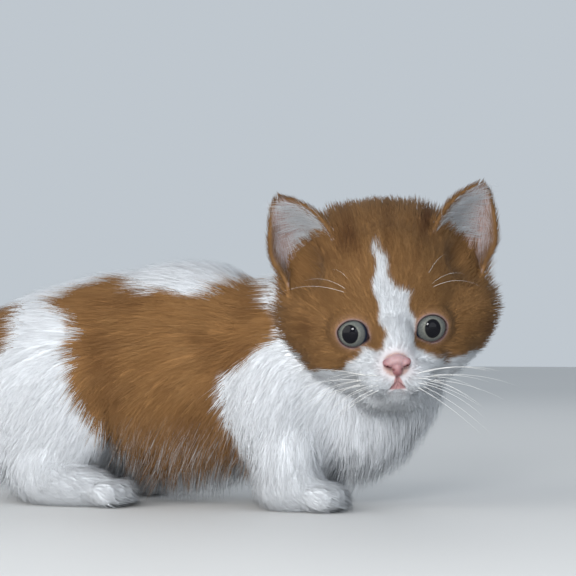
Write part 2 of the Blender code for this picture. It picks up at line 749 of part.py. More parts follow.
def coat_the_body(coat, tree, owner):
    """Overlapping locks on the trunk, thighs, shoulders and breast, and the fringe of the belly."""
    used = []
    for start, ray in trunk_starts():
        root, _, _, _ = tree.ray_cast(start + ray * 60 * MM, -ray)
        if root is None or any((root - other).length < ROOT_SPACING for other in used):
            continue
        name = owner(root)
        kind = BREAST_LOCK if root.x > 26 * MM else BODY_LOCK
        if "paw" not in name and coat.grow(name, tree, root, body_lie(root), kind):
            used.append(root)
    for number in range(9):
        for sign in (1, -1):
            angle = math.radians(136)
            ray = Vector((0, sign * math.sin(angle), math.cos(angle)))
            start = Vector((-2 * MM - FRINGE_SPACING * number, 0, 44 * MM))
            root, _, _, _ = tree.ray_cast(start + ray * 60 * MM, -ray)
            if "paw" not in owner(root):
                coat.grow(owner(root), tree, root, Vector((-0.3, 0.4 * sign, -1)), FRINGE_LOCK)


def coat_the_tail(coat, tree):
    """Rings of locks that lie towards the tip."""
    points = smooth_route(TAIL_ROUTE, 101)
    for place in range(15, 90, 12):
        at = points[place]
        along = (points[place + 2] - at).normalized()
        side = along.cross(Vector((0, 0, 1))).normalized()
        up = side.cross(along)
        name = "tail_base" if place < TAIL_CUTS[0] * 100 else "tail_mid"
        if place > TAIL_CUTS[1] * 100:
            name = "tail_tip"
        for number in range(TAIL_ROUND):
            angle = math.tau * (number + 0.5 * (place % 2)) / TAIL_ROUND
            ray = side * math.cos(angle) + up * math.sin(angle)
            root, _, _, _ = tree.ray_cast(at + ray * 30 * MM, -ray)
            coat.grow(name, tree, root, along, TAIL_LOCK)


def coat_the_head(coat):
    """The long fur of the cheeks, swept back and down, and the tufts inside each ear."""
    pose = head_pose()
    turn = pose.to_3x3()
    for side, sign in SIDES.items():
        for row in range(3):
            for number in range(4):
                z = (7 - 11 * number + 4 * (row % 2)) * MM
                start = pose @ Vector((sign * 60 * MM, (-17 + 9 * row) * MM, z))
                core = coat.cores["head"]
                root, _, _, _ = core.ray_cast(start, turn @ Vector((-sign, 0, 0.05)))
                if root:
                    coat.grow("head", core, root, turn @ Vector((sign * 0.2, 0.75, -0.62)), CHEEK_LOCK)
        for number in range(TUFTS):
            root = pose @ (ear_point(0.2, 0.02 + 0.13 * number, sign) + Vector((0.3 * sign, -1, 0)) * MM)
            lie = turn @ Vector((sign * 0.9, -0.3, 0.3))
            coat.grow("ear_" + side, coat.cores["ear_" + side], root, lie, TUFT_LOCK)


def head_pose():
    turn = Matrix.Rotation(HEAD_YAW, 4, "Z") @ Matrix.Rotation(HEAD_ROLL, 4, "Y")
    return Matrix.LocRotScale(HEAD_CENTRE, None, None) @ turn @ Matrix.Rotation(HEAD_PITCH, 4, "X")


def finish(nodes, parent, collection):
    """Names, colours and parents the finished nodes."""
    for name, node in nodes.items():
        node.name = name
        node.data.name = name
        node.data.materials.clear()
        colour = WHITE
        rough = 0.9
        if name in ("head", "torso") or name.startswith(("tail", "ear")):
            colour = ORANGE
        if name.startswith("eye"):
            colour, rough = IRIS, 0.1
        if name == "nose":
            colour, rough = PINK, 0.5
        node.data.materials.append(material(name, colour, rough))
        node.data.shade_smooth()
        node.data.set_sharp_from_angle(angle=math.radians(50))
        HELPERS.objects.unlink(node)
        collection.objects.link(node)
        node.parent = parent


def new_empty(name, matrix, collection, parent=None):
    made = bpy.data.objects.new(name, None)
    collection.objects.link(made)
    made.parent = parent
    made.matrix_world = matrix
    return made


def build():
    kitten = new_collection("munchkin_kitten")
    stance = new_empty("stance", Matrix.LocRotScale(ORIGIN_SHIFT, None, None), kitten)
    pose = new_empty("head_pose", stance.matrix_world @ head_pose(), kitten, stance)
    in_head, plain = head_nodes()
    rest = combine(body_whole(), [grown(placed(plain, head_pose()), GAP)], "DIFFERENCE")
    rest = largest(rest)
    core = BVHTree.FromObject(rest, bpy.context.evaluated_depsgraph_get())
    in_body, owner = body_nodes(rest)
    tail, tail_core = tail_nodes(in_body["torso"])
    in_body.update(tail)
    for node in in_head.values():
        placed(node, head_pose())
    coat = Coat({**in_body, **in_head})
    coat_the_head(coat)
    coat_the_body(coat, core, owner)
    coat_the_tail(coat, tail_core)
    fused = coat.fuse()
    for name in in_body:
        in_body[name] = fused[name]
    for name in in_head:
        in_head[name] = placed(fused[name], head_pose().inverted())
    finish(in_body, stance, kitten)
    finish(in_head, pose, kitten)
    for helper in list(HELPERS.objects):
        bpy.data.objects.remove(helper)


clear_scene()
HELPERS = new_collection("helpers", shown=False)
build()
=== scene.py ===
"""The looks of a munchkin kitten, orange and white, about seven weeks old, on a pale floor in soft light.

Every size is in metres. The kitten is shaped and marked in its own frame: +X ahead, +Y its left side, +Z up,
with the origin on the floor below its middle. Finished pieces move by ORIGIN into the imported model's frame.
"""

import math
import random
from collections import namedtuple

import bmesh
import bpy
import numpy as np
from mathutils import Euler, Matrix, Vector
from mathutils.bvhtree import BVHTree


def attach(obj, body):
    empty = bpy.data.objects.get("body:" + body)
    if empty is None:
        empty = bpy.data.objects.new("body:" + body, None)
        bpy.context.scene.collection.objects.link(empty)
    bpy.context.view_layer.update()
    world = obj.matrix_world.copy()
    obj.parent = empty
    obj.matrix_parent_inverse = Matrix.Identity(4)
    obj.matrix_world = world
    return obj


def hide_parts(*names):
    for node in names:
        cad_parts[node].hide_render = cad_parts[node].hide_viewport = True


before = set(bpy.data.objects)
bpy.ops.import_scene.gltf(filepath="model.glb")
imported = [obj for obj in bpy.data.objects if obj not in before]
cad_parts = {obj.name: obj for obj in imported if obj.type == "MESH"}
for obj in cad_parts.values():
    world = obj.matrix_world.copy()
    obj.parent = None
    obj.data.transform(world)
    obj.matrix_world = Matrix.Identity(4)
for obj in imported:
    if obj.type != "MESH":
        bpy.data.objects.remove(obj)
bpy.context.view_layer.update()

MM = 0.001
ORIGIN = Vector((58.25 * MM, 3.45 * MM, 0))
SIDES = {"left": 1, "right": -1}

# The photograph's camera: level, a little ahead of the kitten's right side, close to the floor.
FRAME_PIXELS = 576
PIXEL = 0.335 * MM
FLOOR_ROW = 505
CAMERA_AZIMUTH = math.radians(20)
CAMERA_DISTANCE = 700 * MM
CAMERA_HEIGHT = 57 * MM
SENSOR = 36

# The trunk and legs, as in the solids.
BACK_HEIGHT = 84.5 * MM
BELLY_HEIGHT = 3.5 * MM
TRUNK_WIDTH = 66 * MM
SHOULDER_X = 8 * MM
LOIN_X = -36 * MM
HIP_X = -80 * MM
RUMP_X = -119 * MM
BREAST_X = 56.5 * MM
LEG_SPREAD = 21 * MM
HIND_SPREAD = 25 * MM
FORE_PAW_X = {"right": 12 * MM, "left": -4 * MM}
HIND_PAW_X = {"right": -66 * MM, "left": -76 * MM}
FORE_PAW_LENGTH = 30 * MM
HIND_PAW_LENGTH = 40 * MM

# The head in its own frame: the face looks along -Y and +X is the cat's left.
HEAD_CENTRE = Vector((36.2 * MM, -9.7 * MM, 68.3 * MM))
HEAD_YAW = math.radians(22.5)
HEAD_PITCH = math.radians(8)
HEAD_ROLL = math.radians(-4)
HEAD_WIDTH = 75 * MM
HEAD_HEIGHT = 68 * MM
EYE_PLACE = Vector((11.6 * MM, -21.4 * MM, -6.5 * MM))
EYE_RADIUS = 7.2 * MM
LID = 1.1 * MM
NOSE_PLACE = Vector((0, -37.2 * MM, -16.5 * MM))
NOSE_WIDTH = 9 * MM
MOUTH_DROP = 21.3 * MM
EAR_TIP = Vector((32.5 * MM, -4 * MM, 36.8 * MM))
EAR_INNER = Vector((15.5 * MM, -13 * MM, 22 * MM))
EAR_OUTER = Vector((35.2 * MM, -8.5 * MM, 7 * MM))
EAR_TUCK = 4 * MM
EAR_BLUNT = 4.5 * MM
EAR_LEAN = 1.0 * MM
EAR_WALL = 1.5 * MM
EAR_COLUMNS = 28
EAR_ROWS = 34
EAR_SUNK = -0.24
EAR_TOP = 0.95

# The tail's route and thickness with its coat.
TAIL_ROUTE = [
    Vector((-106 * MM, 0, 58 * MM)),
    Vector((-122 * MM, 1 * MM, 51 * MM)),
    Vector((-136 * MM, 3 * MM, 36 * MM)),
    Vector((-150 * MM, 8 * MM, 21 * MM)),
    Vector((-168 * MM, 17 * MM, 13 * MM)),
    Vector((-186 * MM, 30 * MM, 13 * MM)),
]
TAIL_STEPS = 60
TAIL_ROOT_RADIUS = 10.5 * MM
TAIL_TIP_RADIUS = 5.5 * MM

# Half the thickness of a whisker at its root, on the muzzle and over the eyes.
MUZZLE_WHISKER = 0.075 * MM
BROW_WHISKER = 0.042 * MM

# How far the skin lies inside the outline of the coat.
TRUNK_COAT = 4.6 * MM
LEG_COAT = 4.1 * MM
PAW_COAT = 0.9 * MM
TAIL_COAT = 3.4 * MM
CROWN_COAT = 2.6 * MM
CHEEK_COAT = 3.4 * MM
JAW_COAT = 2 * MM
BROW_COAT = 1.6 * MM
FACE_COAT = 0.8 * MM

# How fine the skins are remade.
BODY_GRAIN = 1.15 * MM
HEAD_GRAIN = 0.8 * MM
FACE_GRAIN = 0.68 * MM
NOSE_GRAIN = 0.2 * MM
NOSTRIL_GRAIN = 0.17 * MM

# The eyes: the parts of the iris as shares of the eye's radius, and how far each looks outwards.
CORNEA_RISE = 0.45 * MM
IRIS_RADIUS = 0.69
PUPIL_WIDTH = 0.355
PUPIL_HEIGHT = 0.415
GAZE = {1: 0.025, -1: 0.12}
LID_POINTS = 72

# Colours.
ORANGE_DEEP = (0.255, 0.124, 0.042)
ORANGE_PALE = (0.350, 0.190, 0.078)
ORANGE_DARK = (0.130, 0.054, 0.018)
# The whites lean blue, a painted tint of the cool light.
WHITE_LOW = (0.83, 0.87, 0.92)
WHITE_HIGH = (0.90, 0.93, 0.97)
PINK_SKIN = (0.72, 0.47, 0.45)
FLESH_DEEP = (0.33, 0.21, 0.19)
FLESH_PALE = (0.48, 0.35, 0.32)
LIP_PINK = (0.30, 0.13, 0.15)
LID_DARK = (0.06, 0.035, 0.035)
IRIS_DEEP = (0.085, 0.088, 0.080)
IRIS_PALE = (0.185, 0.192, 0.165)
IRIS_OUTER = (0.085, 0.095, 0.100)
LIMBUS = (0.012, 0.016, 0.03)
EYE_WHITE = (0.05, 0.035, 0.035)
NOSE_PALE = (0.43, 0.30, 0.305)
NOSE_ROSE = (0.33, 0.18, 0.185)
NOSE_RED = (0.22, 0.068, 0.075)
# The dark of the nostrils is painted shade in their hollows.
NOSTRIL_SHADE = (0.13, 0.035, 0.035)
PUPIL_BLACK = (0.004, 0.004, 0.006)
WHISKER_DULL = (0.72, 0.70, 0.66)
WHISKER_PALE = (0.92, 0.92, 0.90)
FLOOR_DULL = (0.60, 0.60, 0.60)
FLOOR_PALE = (0.63, 0.63, 0.62)

# How much of the light each hair holds back, with the rest passing through it, and how far the coat shades
# as one soft surface.
HAIR_SHADOW = 0.24
COAT_SOFTNESS = 0.95

# Each lamp: where it hangs from the kitten's middle, how wide it is, its power and its colour.
LAMPS = {
    "key": ((-0.50, -1.0, 0.28), 1.2, 9.8, (1.0, 0.97, 0.93)),
    "fill": ((0.78, -0.80, 0.10), 0.8, 3.2, (0.90, 0.95, 1.0)),
    "catch": ((0.20, -0.80, 0.26), 0.18, 4, (1.0, 1.0, 1.0)),
    "rim": ((-0.2, 0.8, 0.7), 0.6, 1, (1.0, 1.0, 1.0)),
}
SURROUND = 0.62
SURROUND_COLOUR = (0.84, 0.92, 1.0, 1)

# The orange patches, as outlines seen from the side: millimetres ahead of the origin and above the floor.
SADDLE_RIGHT = [
    (-84, 68), (-73, 74), (-65, 75.5), (-51, 73.5), (-42.6, 71), (-25, 70), (-20, 75), (-12, 76), (-4, 71),
    (3, 62), (4, 56), (-2, 49), (-6.5, 45), (-14, 45), (-16.5, 40), (-14, 26), (-11, 14.5), (-2, 13),
    (0, -5), (-45, -5), (-49, 10), (-57, 16), (-65, 29.5), (-69, 40), (-72, 57), (-76, 63),
]
SADDLE_LEFT = [
    (-70, 66), (-58, 73), (-44, 76), (-30, 71), (-16, 73), (-2, 68), (2, 58), (-8, 50), (-12, 38),
    (-20, 30), (-24, 14), (-50, 12), (-60, 24), (-64, 44),
]
RUMP_PATCH = [(-101, 70), (-94, 58), (-96, 50), (-108, 44), (-140, 40), (-140, 90), (-118, 84)]
# The face's white, seen from the front: millimetres to the cat's left of the head's middle and above it.
FACE_WHITE = [
    (-4.2, 20), (-2.4, 20), (-1.4, 14.5), (0.2, 11), (1.8, 7.9), (3.8, 5.7), (6.2, 3.8), (8.5, 1.7),
    (9.3, -1.5), (9.6, -6), (9.9, -12), (10.6, -14.6), (12.2, -16.4), (18.5, -17.6), (24.8, -17),
    (31, -14.4), (36, -12), (45, -11), (45, -60), (-45, -60), (-45, -8), (-31, -13), (-28.5, -17.1),
    (-24.3, -20.8), (-19.1, -22.2), (-14.9, -21.3), (-10.7, -18.7), (-6.6, -15.6), (-2.8, -14),
    (-1.4, -11.5), (-1.6, -9.8), (-2.8, -4.6), (-3.8, 0.6), (-4.6, 5.9), (-4.5, 11.1), (-4.4, 15),
]


def egg(centre, radii, turn=(0, 0, 0)):
    """A rounded form: where its middle is, its three half sizes, and its turn in degrees."""
    angles = Euler([math.radians(a) for a in turn])
    return Matrix.LocRotScale(Vector(centre), angles, Vector(radii))


def twins(centre, radii, turn=(0, 0, 0)):
    """The same form on both sides of the YZ plane, for the head in its own frame."""
    x, y, z = centre
    a, b, c = turn
    return [egg((x, y, z), radii, (a, b, c)), egg((-x, y, z), radii, (a, -b, -c))]


def inset(forms, depth):
    made = []
    for form in forms:
        place, turn, radii = form.decompose()
        made.append(Matrix.LocRotScale(place, turn, radii - Vector((depth, depth, depth))))
    return made


def mirrored(point, sign):
    return Vector((point[0] * sign, point[1], point[2]))


def object_of(mesh, name):
    made = bpy.data.objects.new(name, mesh)
    bpy.context.scene.collection.objects.link(made)
    return made


def reworked(obj, work):
    """Runs some work on an object's mesh."""
    shape = bmesh.new()
    shape.from_mesh(obj.data)
    work(shape)
    shape.to_mesh(obj.data)
    shape.free()
    return obj


def read(items, name, width=1, kind=float):
    """One value, or one row of values, for each item of a mesh."""
    rows = np.empty(len(items) * width, kind)
    items.foreach_get(name, rows)
    return rows.reshape(-1, width) if width > 1 else rows


def object_from(name, points, faces):
    mesh = bpy.data.meshes.new(name)
    mesh.from_pydata(points, [], faces)
    return object_of(mesh, name)


def evaluated(obj, name):
    """The object's mesh as its modifiers leave it, in a new object, with the old one removed."""
    graph = bpy.context.evaluated_depsgraph_get()
    made = object_of(bpy.data.meshes.new_from_object(obj.evaluated_get(graph)), name)
    bpy.data.objects.remove(obj)
    return made


def eggs(name, forms, around=40, high=24):
    """One object that holds every form as a closed ball, stretched and placed."""
    ball = bmesh.new()
    bmesh.ops.create_uvsphere(ball, u_segments=around, v_segments=high, radius=1)
    points = [Vector(v.co) for v in ball.verts]
    faces = [[v.index for v in f.verts] for f in ball.faces]
    ball.free()
    all_points = []
    all_faces = []
    for form in forms:
        start = len(all_points)
        all_points.extend(form @ point for point in points)
        all_faces.extend([start + i for i in face] for face in faces)
    return object_from(name, all_points, all_faces)


def joined(first, others):
    """Puts the others' meshes beside the first one's, in its object."""

    def work(shape):
        for other in others:
            shape.from_mesh(other.data)
            bpy.data.objects.remove(other)

    return reworked(first, work)


def remade(obj, voxel, easing):
    """Remakes closed shapes as one even skin and eases its seams."""
    fuse = obj.modifiers.new("fuse", "REMESH")
    fuse.mode = "VOXEL"
    fuse.voxel_size = voxel
    ease = obj.modifiers.new("ease", "SMOOTH")
    ease.factor = 0.5
    ease.iterations = easing
    return evaluated(obj, obj.name)


def combine(target, others, operation):
    """One Boolean of the target with a set of closed objects, with the others removed."""
    group = bpy.data.collections.new("boolean")
    for other in others:
        group.objects.link(other)
    change = target.modifiers.new("boolean", "BOOLEAN")
    change.operand_type = "COLLECTION"
    change.collection = group
    change.operation = operation
    change.solver = "MANIFOLD"
    made = evaluated(target, target.name)
    for other in others:
        bpy.data.objects.remove(other)
    bpy.data.collections.remove(group)
    return made


def largest(obj):
    """Keeps only the largest closed surface of an object."""

    def work(shape):
        left = set(shape.faces)
        bodies = []
        while left:
            rim = {left.pop()}
            body = set(rim)
            while rim:
                rim = {n for f in rim for e in f.edges for n in e.link_faces} & left
                left -= rim
                body |= rim
            bodies.append(body)
        bodies.sort(key=len)
        scraps = {vert for faces in bodies[:-1] for f in faces for vert in f.verts}
        bmesh.ops.delete(shape, geom=list(scraps), context="VERTS")

    return reworked(obj, work)


def tube(name, points, radii, sides=8, closed=False):
    """A closed tube through points, with its own radius at each, tapered to nothing where that is zero."""
    count = len(points)
    verts = []
    for i, point in enumerate(points):
        before = points[i - 1] if i or closed else point
        after = points[(i + 1) % count] if i < count - 1 or closed else point
        along = (after - before).normalized()
        side = along.cross(Vector((0.31, 0.17, 0.93))).normalized()
        up = side.cross(along)
        for k in range(sides):
            angle = math.tau * k / sides
            verts.append(point + (side * math.cos(angle) + up * math.sin(angle)) * radii[i])
    faces = []
    for i in range(count if closed else count - 1):
        for k in range(sides):
            a, b = i * sides, (i + 1) % count * sides
            faces.append((a + k, a + (k + 1) % sides, b + (k + 1) % sides, b + k))
    if not closed:
        faces.append(tuple(range(sides)))
        faces.append(tuple(range((count - 1) * sides, count * sides)))

    def work(shape):
        bmesh.ops.remove_doubles(shape, verts=shape.verts, dist=1e-6)
        bmesh.ops.recalc_face_normals(shape, faces=shape.faces)

    return reworked(object_from(name, verts, faces), work)


def smooth_route(points, count):
    """Evenly numbered points on a Catmull-Rom curve through the route's own points."""
    ends = [2 * points[0] - points[1], *points, 2 * points[-1] - points[-2]]
    made = []
    for step in range(count):
        place = step * (len(points) - 1) / (count - 1)
        i = min(int(place), len(points) - 2)
        t = place - i
        a, b, c, d = ends[i : i + 4]
        curve = 2 * b + (c - a) * t + (2 * a - 5 * b + 4 * c - d) * t * t
        made.append((curve + (3 * b - a - 3 * c + d) * t**3) / 2)
    return made


def trunk_forms():
    """The barrel of the body, from the rump to the breast."""
    middle = (BACK_HEIGHT + BELLY_HEIGHT) / 2
    half = (BACK_HEIGHT - BELLY_HEIGHT) / 2
    wide = TRUNK_WIDTH / 2
    rump = egg((HIP_X, 0, middle - 3 * MM), (HIP_X - RUMP_X, wide - 1.5 * MM, half - 4.5 * MM))
    loin = egg((LOIN_X, 0, middle + 0.5 * MM), (46 * MM, wide, half))
    spine = egg((HIP_X + 25 * MM, 0, BACK_HEIGHT - 30 * MM), (48 * MM, wide - 7 * MM, 27.5 * MM))
    ribs = egg((SHOULDER_X - 4 * MM, 0, middle - 1 * MM), (38 * MM, wide - 2 * MM, half - 2 * MM))
    breast = egg((BREAST_X - 26 * MM, -1 * MM, 41 * MM), (26 * MM, 25 * MM, 24 * MM))
    bib = egg((26 * MM, -1 * MM, 30.5 * MM), (23 * MM, 22 * MM, 21.5 * MM))
    return inset([rump, loin, spine, ribs, breast, bib], TRUNK_COAT)


def neck_forms():
    return inset([egg((24 * MM, 1 * MM, 62 * MM), (24 * MM, 25 * MM, 21 * MM), (0, -20, 0))], TRUNK_COAT / 2)


def leg_forms():
    """Shoulders, forelegs, thighs and hocks of both sides, without the paws."""
    upper = []
    lower = []
    for side, sign in SIDES.items():
        fore = FORE_PAW_X[side]
        hind = HIND_PAW_X[side]
        y = sign * LEG_SPREAD
        upper.append(egg((fore - 10 * MM, y, 36 * MM), (17 * MM, 13 * MM, 24 * MM)))
        lower.append(egg((fore - 5 * MM, y, 17 * MM), (12 * MM, 10.5 * MM, 17 * MM)))
        y = sign * HIND_SPREAD
        upper.append(egg((hind - 14 * MM, y - sign * 4 * MM, 30 * MM), (27 * MM, 13 * MM, 27 * MM)))
        lower.append(egg((hind - 14 * MM, y, 12 * MM), (11 * MM, 8.5 * MM, 12 * MM), (0, 25, 0)))
    return inset(upper, LEG_COAT), inset(lower, LEG_COAT / 2)


def all_paw_forms():
    forms = []
    for side, sign in SIDES.items():
        forms += paw_forms(FORE_PAW_X[side], sign * (LEG_SPREAD + 1 * MM), FORE_PAW_LENGTH)
        forms += paw_forms(HIND_PAW_X[side], sign * (HIND_SPREAD + 2 * MM), HIND_PAW_LENGTH)
    return forms


def paw_forms(middle_x, middle_y, length):
    """A palm and four toes, the two middle ones ahead of the outer ones."""
    toe = 4.4 * MM
    palm_half = length / 2 - toe / 2
    forms = [egg((middle_x - toe / 2, middle_y, 6 * MM), (palm_half, 8.2 * MM, 8 * MM))]
    for number in range(4):
        across = (number - 1.5) * 4.5 * MM
        ahead = length / 2 - toe - (1.6 * MM if number in (0, 3) else 0)
        place = (middle_x + ahead, middle_y + across, 4.6 * MM)
        forms.append(egg(place, (toe * 1.3, toe * 0.72, toe * 1.15)))
    return inset(forms, PAW_COAT)


def tail_forms():
    """A row of overlapping eggs along the tail's route, thinner towards the tip."""
    points = smooth_route(TAIL_ROUTE, TAIL_STEPS)
    forms = []
    for number, point in enumerate(points):
        share = number / (len(points) - 1)
        radius = TAIL_ROOT_RADIUS + (TAIL_TIP_RADIUS - TAIL_ROOT_RADIUS) * share - TAIL_COAT
        forms.append(egg(point, (radius, radius, radius)))
    return forms


def body_skin():
    upper, lower = leg_forms()
    forms = trunk_forms() + neck_forms() + upper + lower + all_paw_forms() + tail_forms()
    body = remade(eggs("body", forms), BODY_GRAIN, 8)
    below = egg((-50 * MM, 0, -49.6 * MM), (400 * MM, 200 * MM, 100 * MM))
    floor = object_from("floor cut", [], [])
    reworked(floor, lambda shape: bmesh.ops.create_cube(shape, size=1, matrix=below))
    return combine(body, [floor], "DIFFERENCE")


def head_forms():
    """Skull, brow, cheeks, muzzle, pads and chin, in the head's own frame, each inside its own coat."""
    half = HEAD_WIDTH / 2
    top = HEAD_HEIGHT / 2
    crown = egg((0, 4 * MM, 5 * MM), (half - 4 * MM, 33 * MM, top - 5.5 * MM))
    brow = egg((0, -10 * MM, 4 * MM), (25 * MM, 21.5 * MM, 24 * MM))
    muzzle = egg((0, -29 * MM, -19.5 * MM), (11 * MM, 8 * MM, 7.5 * MM))
    bridge = egg((0, -28.8 * MM, -10 * MM), (7.8 * MM, 8 * MM, 10 * MM), (-25, 0, 0))
    chin = egg((0, -26.6 * MM, -26.2 * MM), (6.4 * MM, 6.2 * MM, 4.2 * MM))
    throat = egg((0, -18 * MM, -27 * MM), (13 * MM, 12 * MM, 8 * MM))
    jaw = egg((0, -12 * MM, -20 * MM), (22 * MM, 19 * MM, 11 * MM))
    cheek = (half - 18 * MM, 22 * MM, 19 * MM)
    cheeks = [egg((19.4 * MM, -3 * MM, -5 * MM), cheek), egg((-16.8 * MM, -3 * MM, -5 * MM), cheek)]
    under_eyes = twins((14 * MM, -13.5 * MM, -14 * MM), (14 * MM, 14 * MM, 11.5 * MM))
    fillers = twins((9 * MM, -25.2 * MM, -15.5 * MM), (8 * MM, 7.4 * MM, 7 * MM))
    pads = twins((5.4 * MM, -31.5 * MM, -20.5 * MM), (7.2 * MM, 6.2 * MM, 5.6 * MM), (0, 0, -12))
    forms = inset([crown], CROWN_COAT) + inset(cheeks, CHEEK_COAT) + inset([jaw, throat], JAW_COAT)
    forms += inset([brow, *under_eyes], BROW_COAT)
    return forms + inset([muzzle, bridge, chin, *fillers, *pads], FACE_COAT)


def ear_point(across, up, sign):
    """A point of the ear's cup: across from its inner to its outer edge, and up from base to blunt tip."""
    middle = (EAR_INNER + EAR_OUTER) / 2
    half = (EAR_OUTER - EAR_INNER) / 2
    deep = Vector((0.05, 0.9, 0.3)).normalized() * 10 * MM
    angle = across * math.pi
    base = middle - half * math.cos(angle) + deep * math.sin(angle)
    off = across - 0.5
    tip = EAR_TIP + Vector((EAR_BLUNT * off, 0, -5 * MM * off * off))
    narrow = 1 - 0.06 * up
    swell = math.sin(max(up, 0) * math.pi) * Vector((2.9 * MM * across - 1.5 * MM, -0.6 * MM, 1.5 * MM))
    point = base.lerp(tip, up * narrow) + swell
    point.x += sign * EAR_LEAN * (1 + up) / 2
    point.x -= EAR_TUCK * float(step(0.34, 0.0, up) * step(0.6, 1.0, across))
    return mirrored(point, sign)


def ear_grid(sign):
    """The middle surface of an ear's cup, open to the front: its points and faces."""
    points = []
    for row in range(EAR_ROWS):
        for column in range(EAR_COLUMNS):
            up = EAR_SUNK + (EAR_TOP - EAR_SUNK) * row / (EAR_ROWS - 1)
            points.append(ear_point(column / (EAR_COLUMNS - 1), up, sign))
    faces = []
    for row in range(EAR_ROWS - 1):
        for column in range(EAR_COLUMNS - 1):
            a = row * EAR_COLUMNS + column
            quad = (a, a + 1, a + EAR_COLUMNS + 1, a + EAR_COLUMNS)
            faces.append(quad if sign > 0 else quad[::-1])
    return points, faces


def ear_wall(sign):
    wall = object_from("ear wall", *ear_grid(sign))
    thick = wall.modifiers.new("wall", "SOLIDIFY")
    thick.thickness = EAR_WALL
    thick.offset = 0
    rim = [egg(ear_point(share / 6, EAR_TOP, sign), [0.85 * MM] * 3) for share in range(7)]
    return joined(evaluated(wall, "ear wall"), [eggs("rim", rim)])


def eye_frame(sign):
    """The eye's own frame: +X outwards across the face, +Y up, +Z the way it looks."""
    look = Vector((0.12 * sign, -1, 0.02)).normalized()
    side = (Vector((sign, 0, 0)) - look * look.x * sign).normalized()
    up = Vector((0, 0, 1))
    up = (up - look * look.z - side * side.z).normalized()
    turn = Matrix((side, up, look)).transposed().to_4x4()
    return Matrix.Translation(mirrored(EYE_PLACE, sign)) @ turn


def lid_opening(angle):
    """How far the lids' edge lies from the middle of the eye: nearly round, drawn out at its two corners."""
    inner = np.exp((np.cos(angle - math.pi * 1.12) - 1) * 2 / 0.25**2)
    outer = np.exp((np.cos(angle - 0.2) - 1) * 2 / 0.35**2)
    return (4.22 + 0.42 * np.cos(angle) ** 2 + 0.75 * inner + 0.25 * outer) * MM


def lid_ring(sign, grow, ahead):
    """Points round the lids' opening, each as far before the eye's middle as ahead gives for its reach."""
    points = []
    for number in range(LID_POINTS):
        angle = math.tau * number / LID_POINTS
        far = lid_opening(angle) + grow
        points.append(eye_frame(sign) @ Vector((far * math.cos(angle), far * math.sin(angle), ahead(far))))
    return points


def lid_margin(sign):
    """The rounded edge of the lids, on a ball that is a little larger than the eye."""
    edge = lid_ring(sign, 0.35 * MM, lambda far: math.sqrt((EYE_RADIUS + 0.5 * MM) ** 2 - far**2))
    return tube("margin", edge, [0.52 * MM] * LID_POINTS, 10, closed=True)


def eye_window(sign):
    """A cutter through the lids, shaped as their opening."""
    verts = []
    for depth in (EYE_RADIUS * 0.5, EYE_RADIUS + 6 * MM):
        verts += lid_ring(sign, 0.1 * MM, lambda far: depth)
    count = LID_POINTS
    faces = [(k, (k + 1) % count, (k + 1) % count + count, k + count) for k in range(count)]
    faces.append(tuple(range(count - 1, -1, -1)))
    faces.append(tuple(range(count, 2 * count)))
    made = object_from("window", verts, faces)
    return reworked(made, lambda shape: bmesh.ops.recalc_face_normals(shape, faces=shape.faces))


def mouth_paths():
    """The philtrum and the two arcs of the mouth line, as places across and up in the head's frame."""
    philtrum = [(0, NOSE_PLACE.z - 3.2 * MM - 0.45 * MM * i) for i in range(8)]
    arc = []
    for step in range(19):
        share = step / 18
        drop = MOUTH_DROP + 2.6 * MM * math.sin(share * math.pi * 0.72)
        arc.append((5.5 * MM * share, -drop))
    return [philtrum, arc, [(-x, z) for x, z in arc]]


def refined(obj, places, reach, cuts):
    """Splits the faces near some places finer, for the small folds that come there."""

    def work(shape):
        co = np.array([v.co for v in shape.verts])
        near = np.zeros(len(co), bool)
        for place in np.array(places):
            near |= ((co - place) ** 2).sum(1) < reach**2
        edges = [e for e in shape.edges if near[e.verts[0].index] and near[e.verts[1].index]]
        bmesh.ops.subdivide_edges(shape, edges=edges, cuts=cuts, use_grid_fill=True)

    return reworked(obj, work)


def sculpted_mouth(head):
    """Presses in the mouth line and the philtrum, and swells the lips beside them."""
    graph = bpy.context.evaluated_depsgraph_get()
    tree = BVHTree.FromObject(head, graph)
    lines = []
    for path in mouth_paths():
        line = []
        for x, z in path:
            point, _, _, _ = tree.ray_cast(Vector((x, -80 * MM, z)), Vector((0, 1, 0)))
            line.append(point)
        lines.append(line)
    dense = [a.lerp(b, k / 4) for line in lines for a, b in zip(line, line[1:]) for k in range(4)]
    refined(head, dense, 1.8 * MM, 3)
    mesh = head.data
    co, normal = coordinates(mesh)
    gap = np.full(len(co), 1.0)
    for point in dense:
        gap = np.minimum(gap, ((co - np.array(point)) ** 2).sum(1))
    gap = np.sqrt(gap)
    fade = 1 - 0.6 * step(1.5 * MM, 6 * MM, np.abs(co[:, 0]))
    push = -0.75 * MM * fade * np.exp(-((gap / (0.34 * MM)) ** 2))
    push += 0.22 * MM * np.exp(-(((gap - 0.95 * MM) / (0.45 * MM)) ** 2))
    co += normal * push[:, None]
    mesh.vertices.foreach_set("co", co.ravel())
    mesh.update()
    return head, dense


def coordinates(mesh):
    """Every vertex's place and normal, as two arrays of rows."""
    normals = read(mesh.vertex_normals, "vector", 3, np.float32)
    return read(mesh.vertices, "co", 3), normals.astype(float)


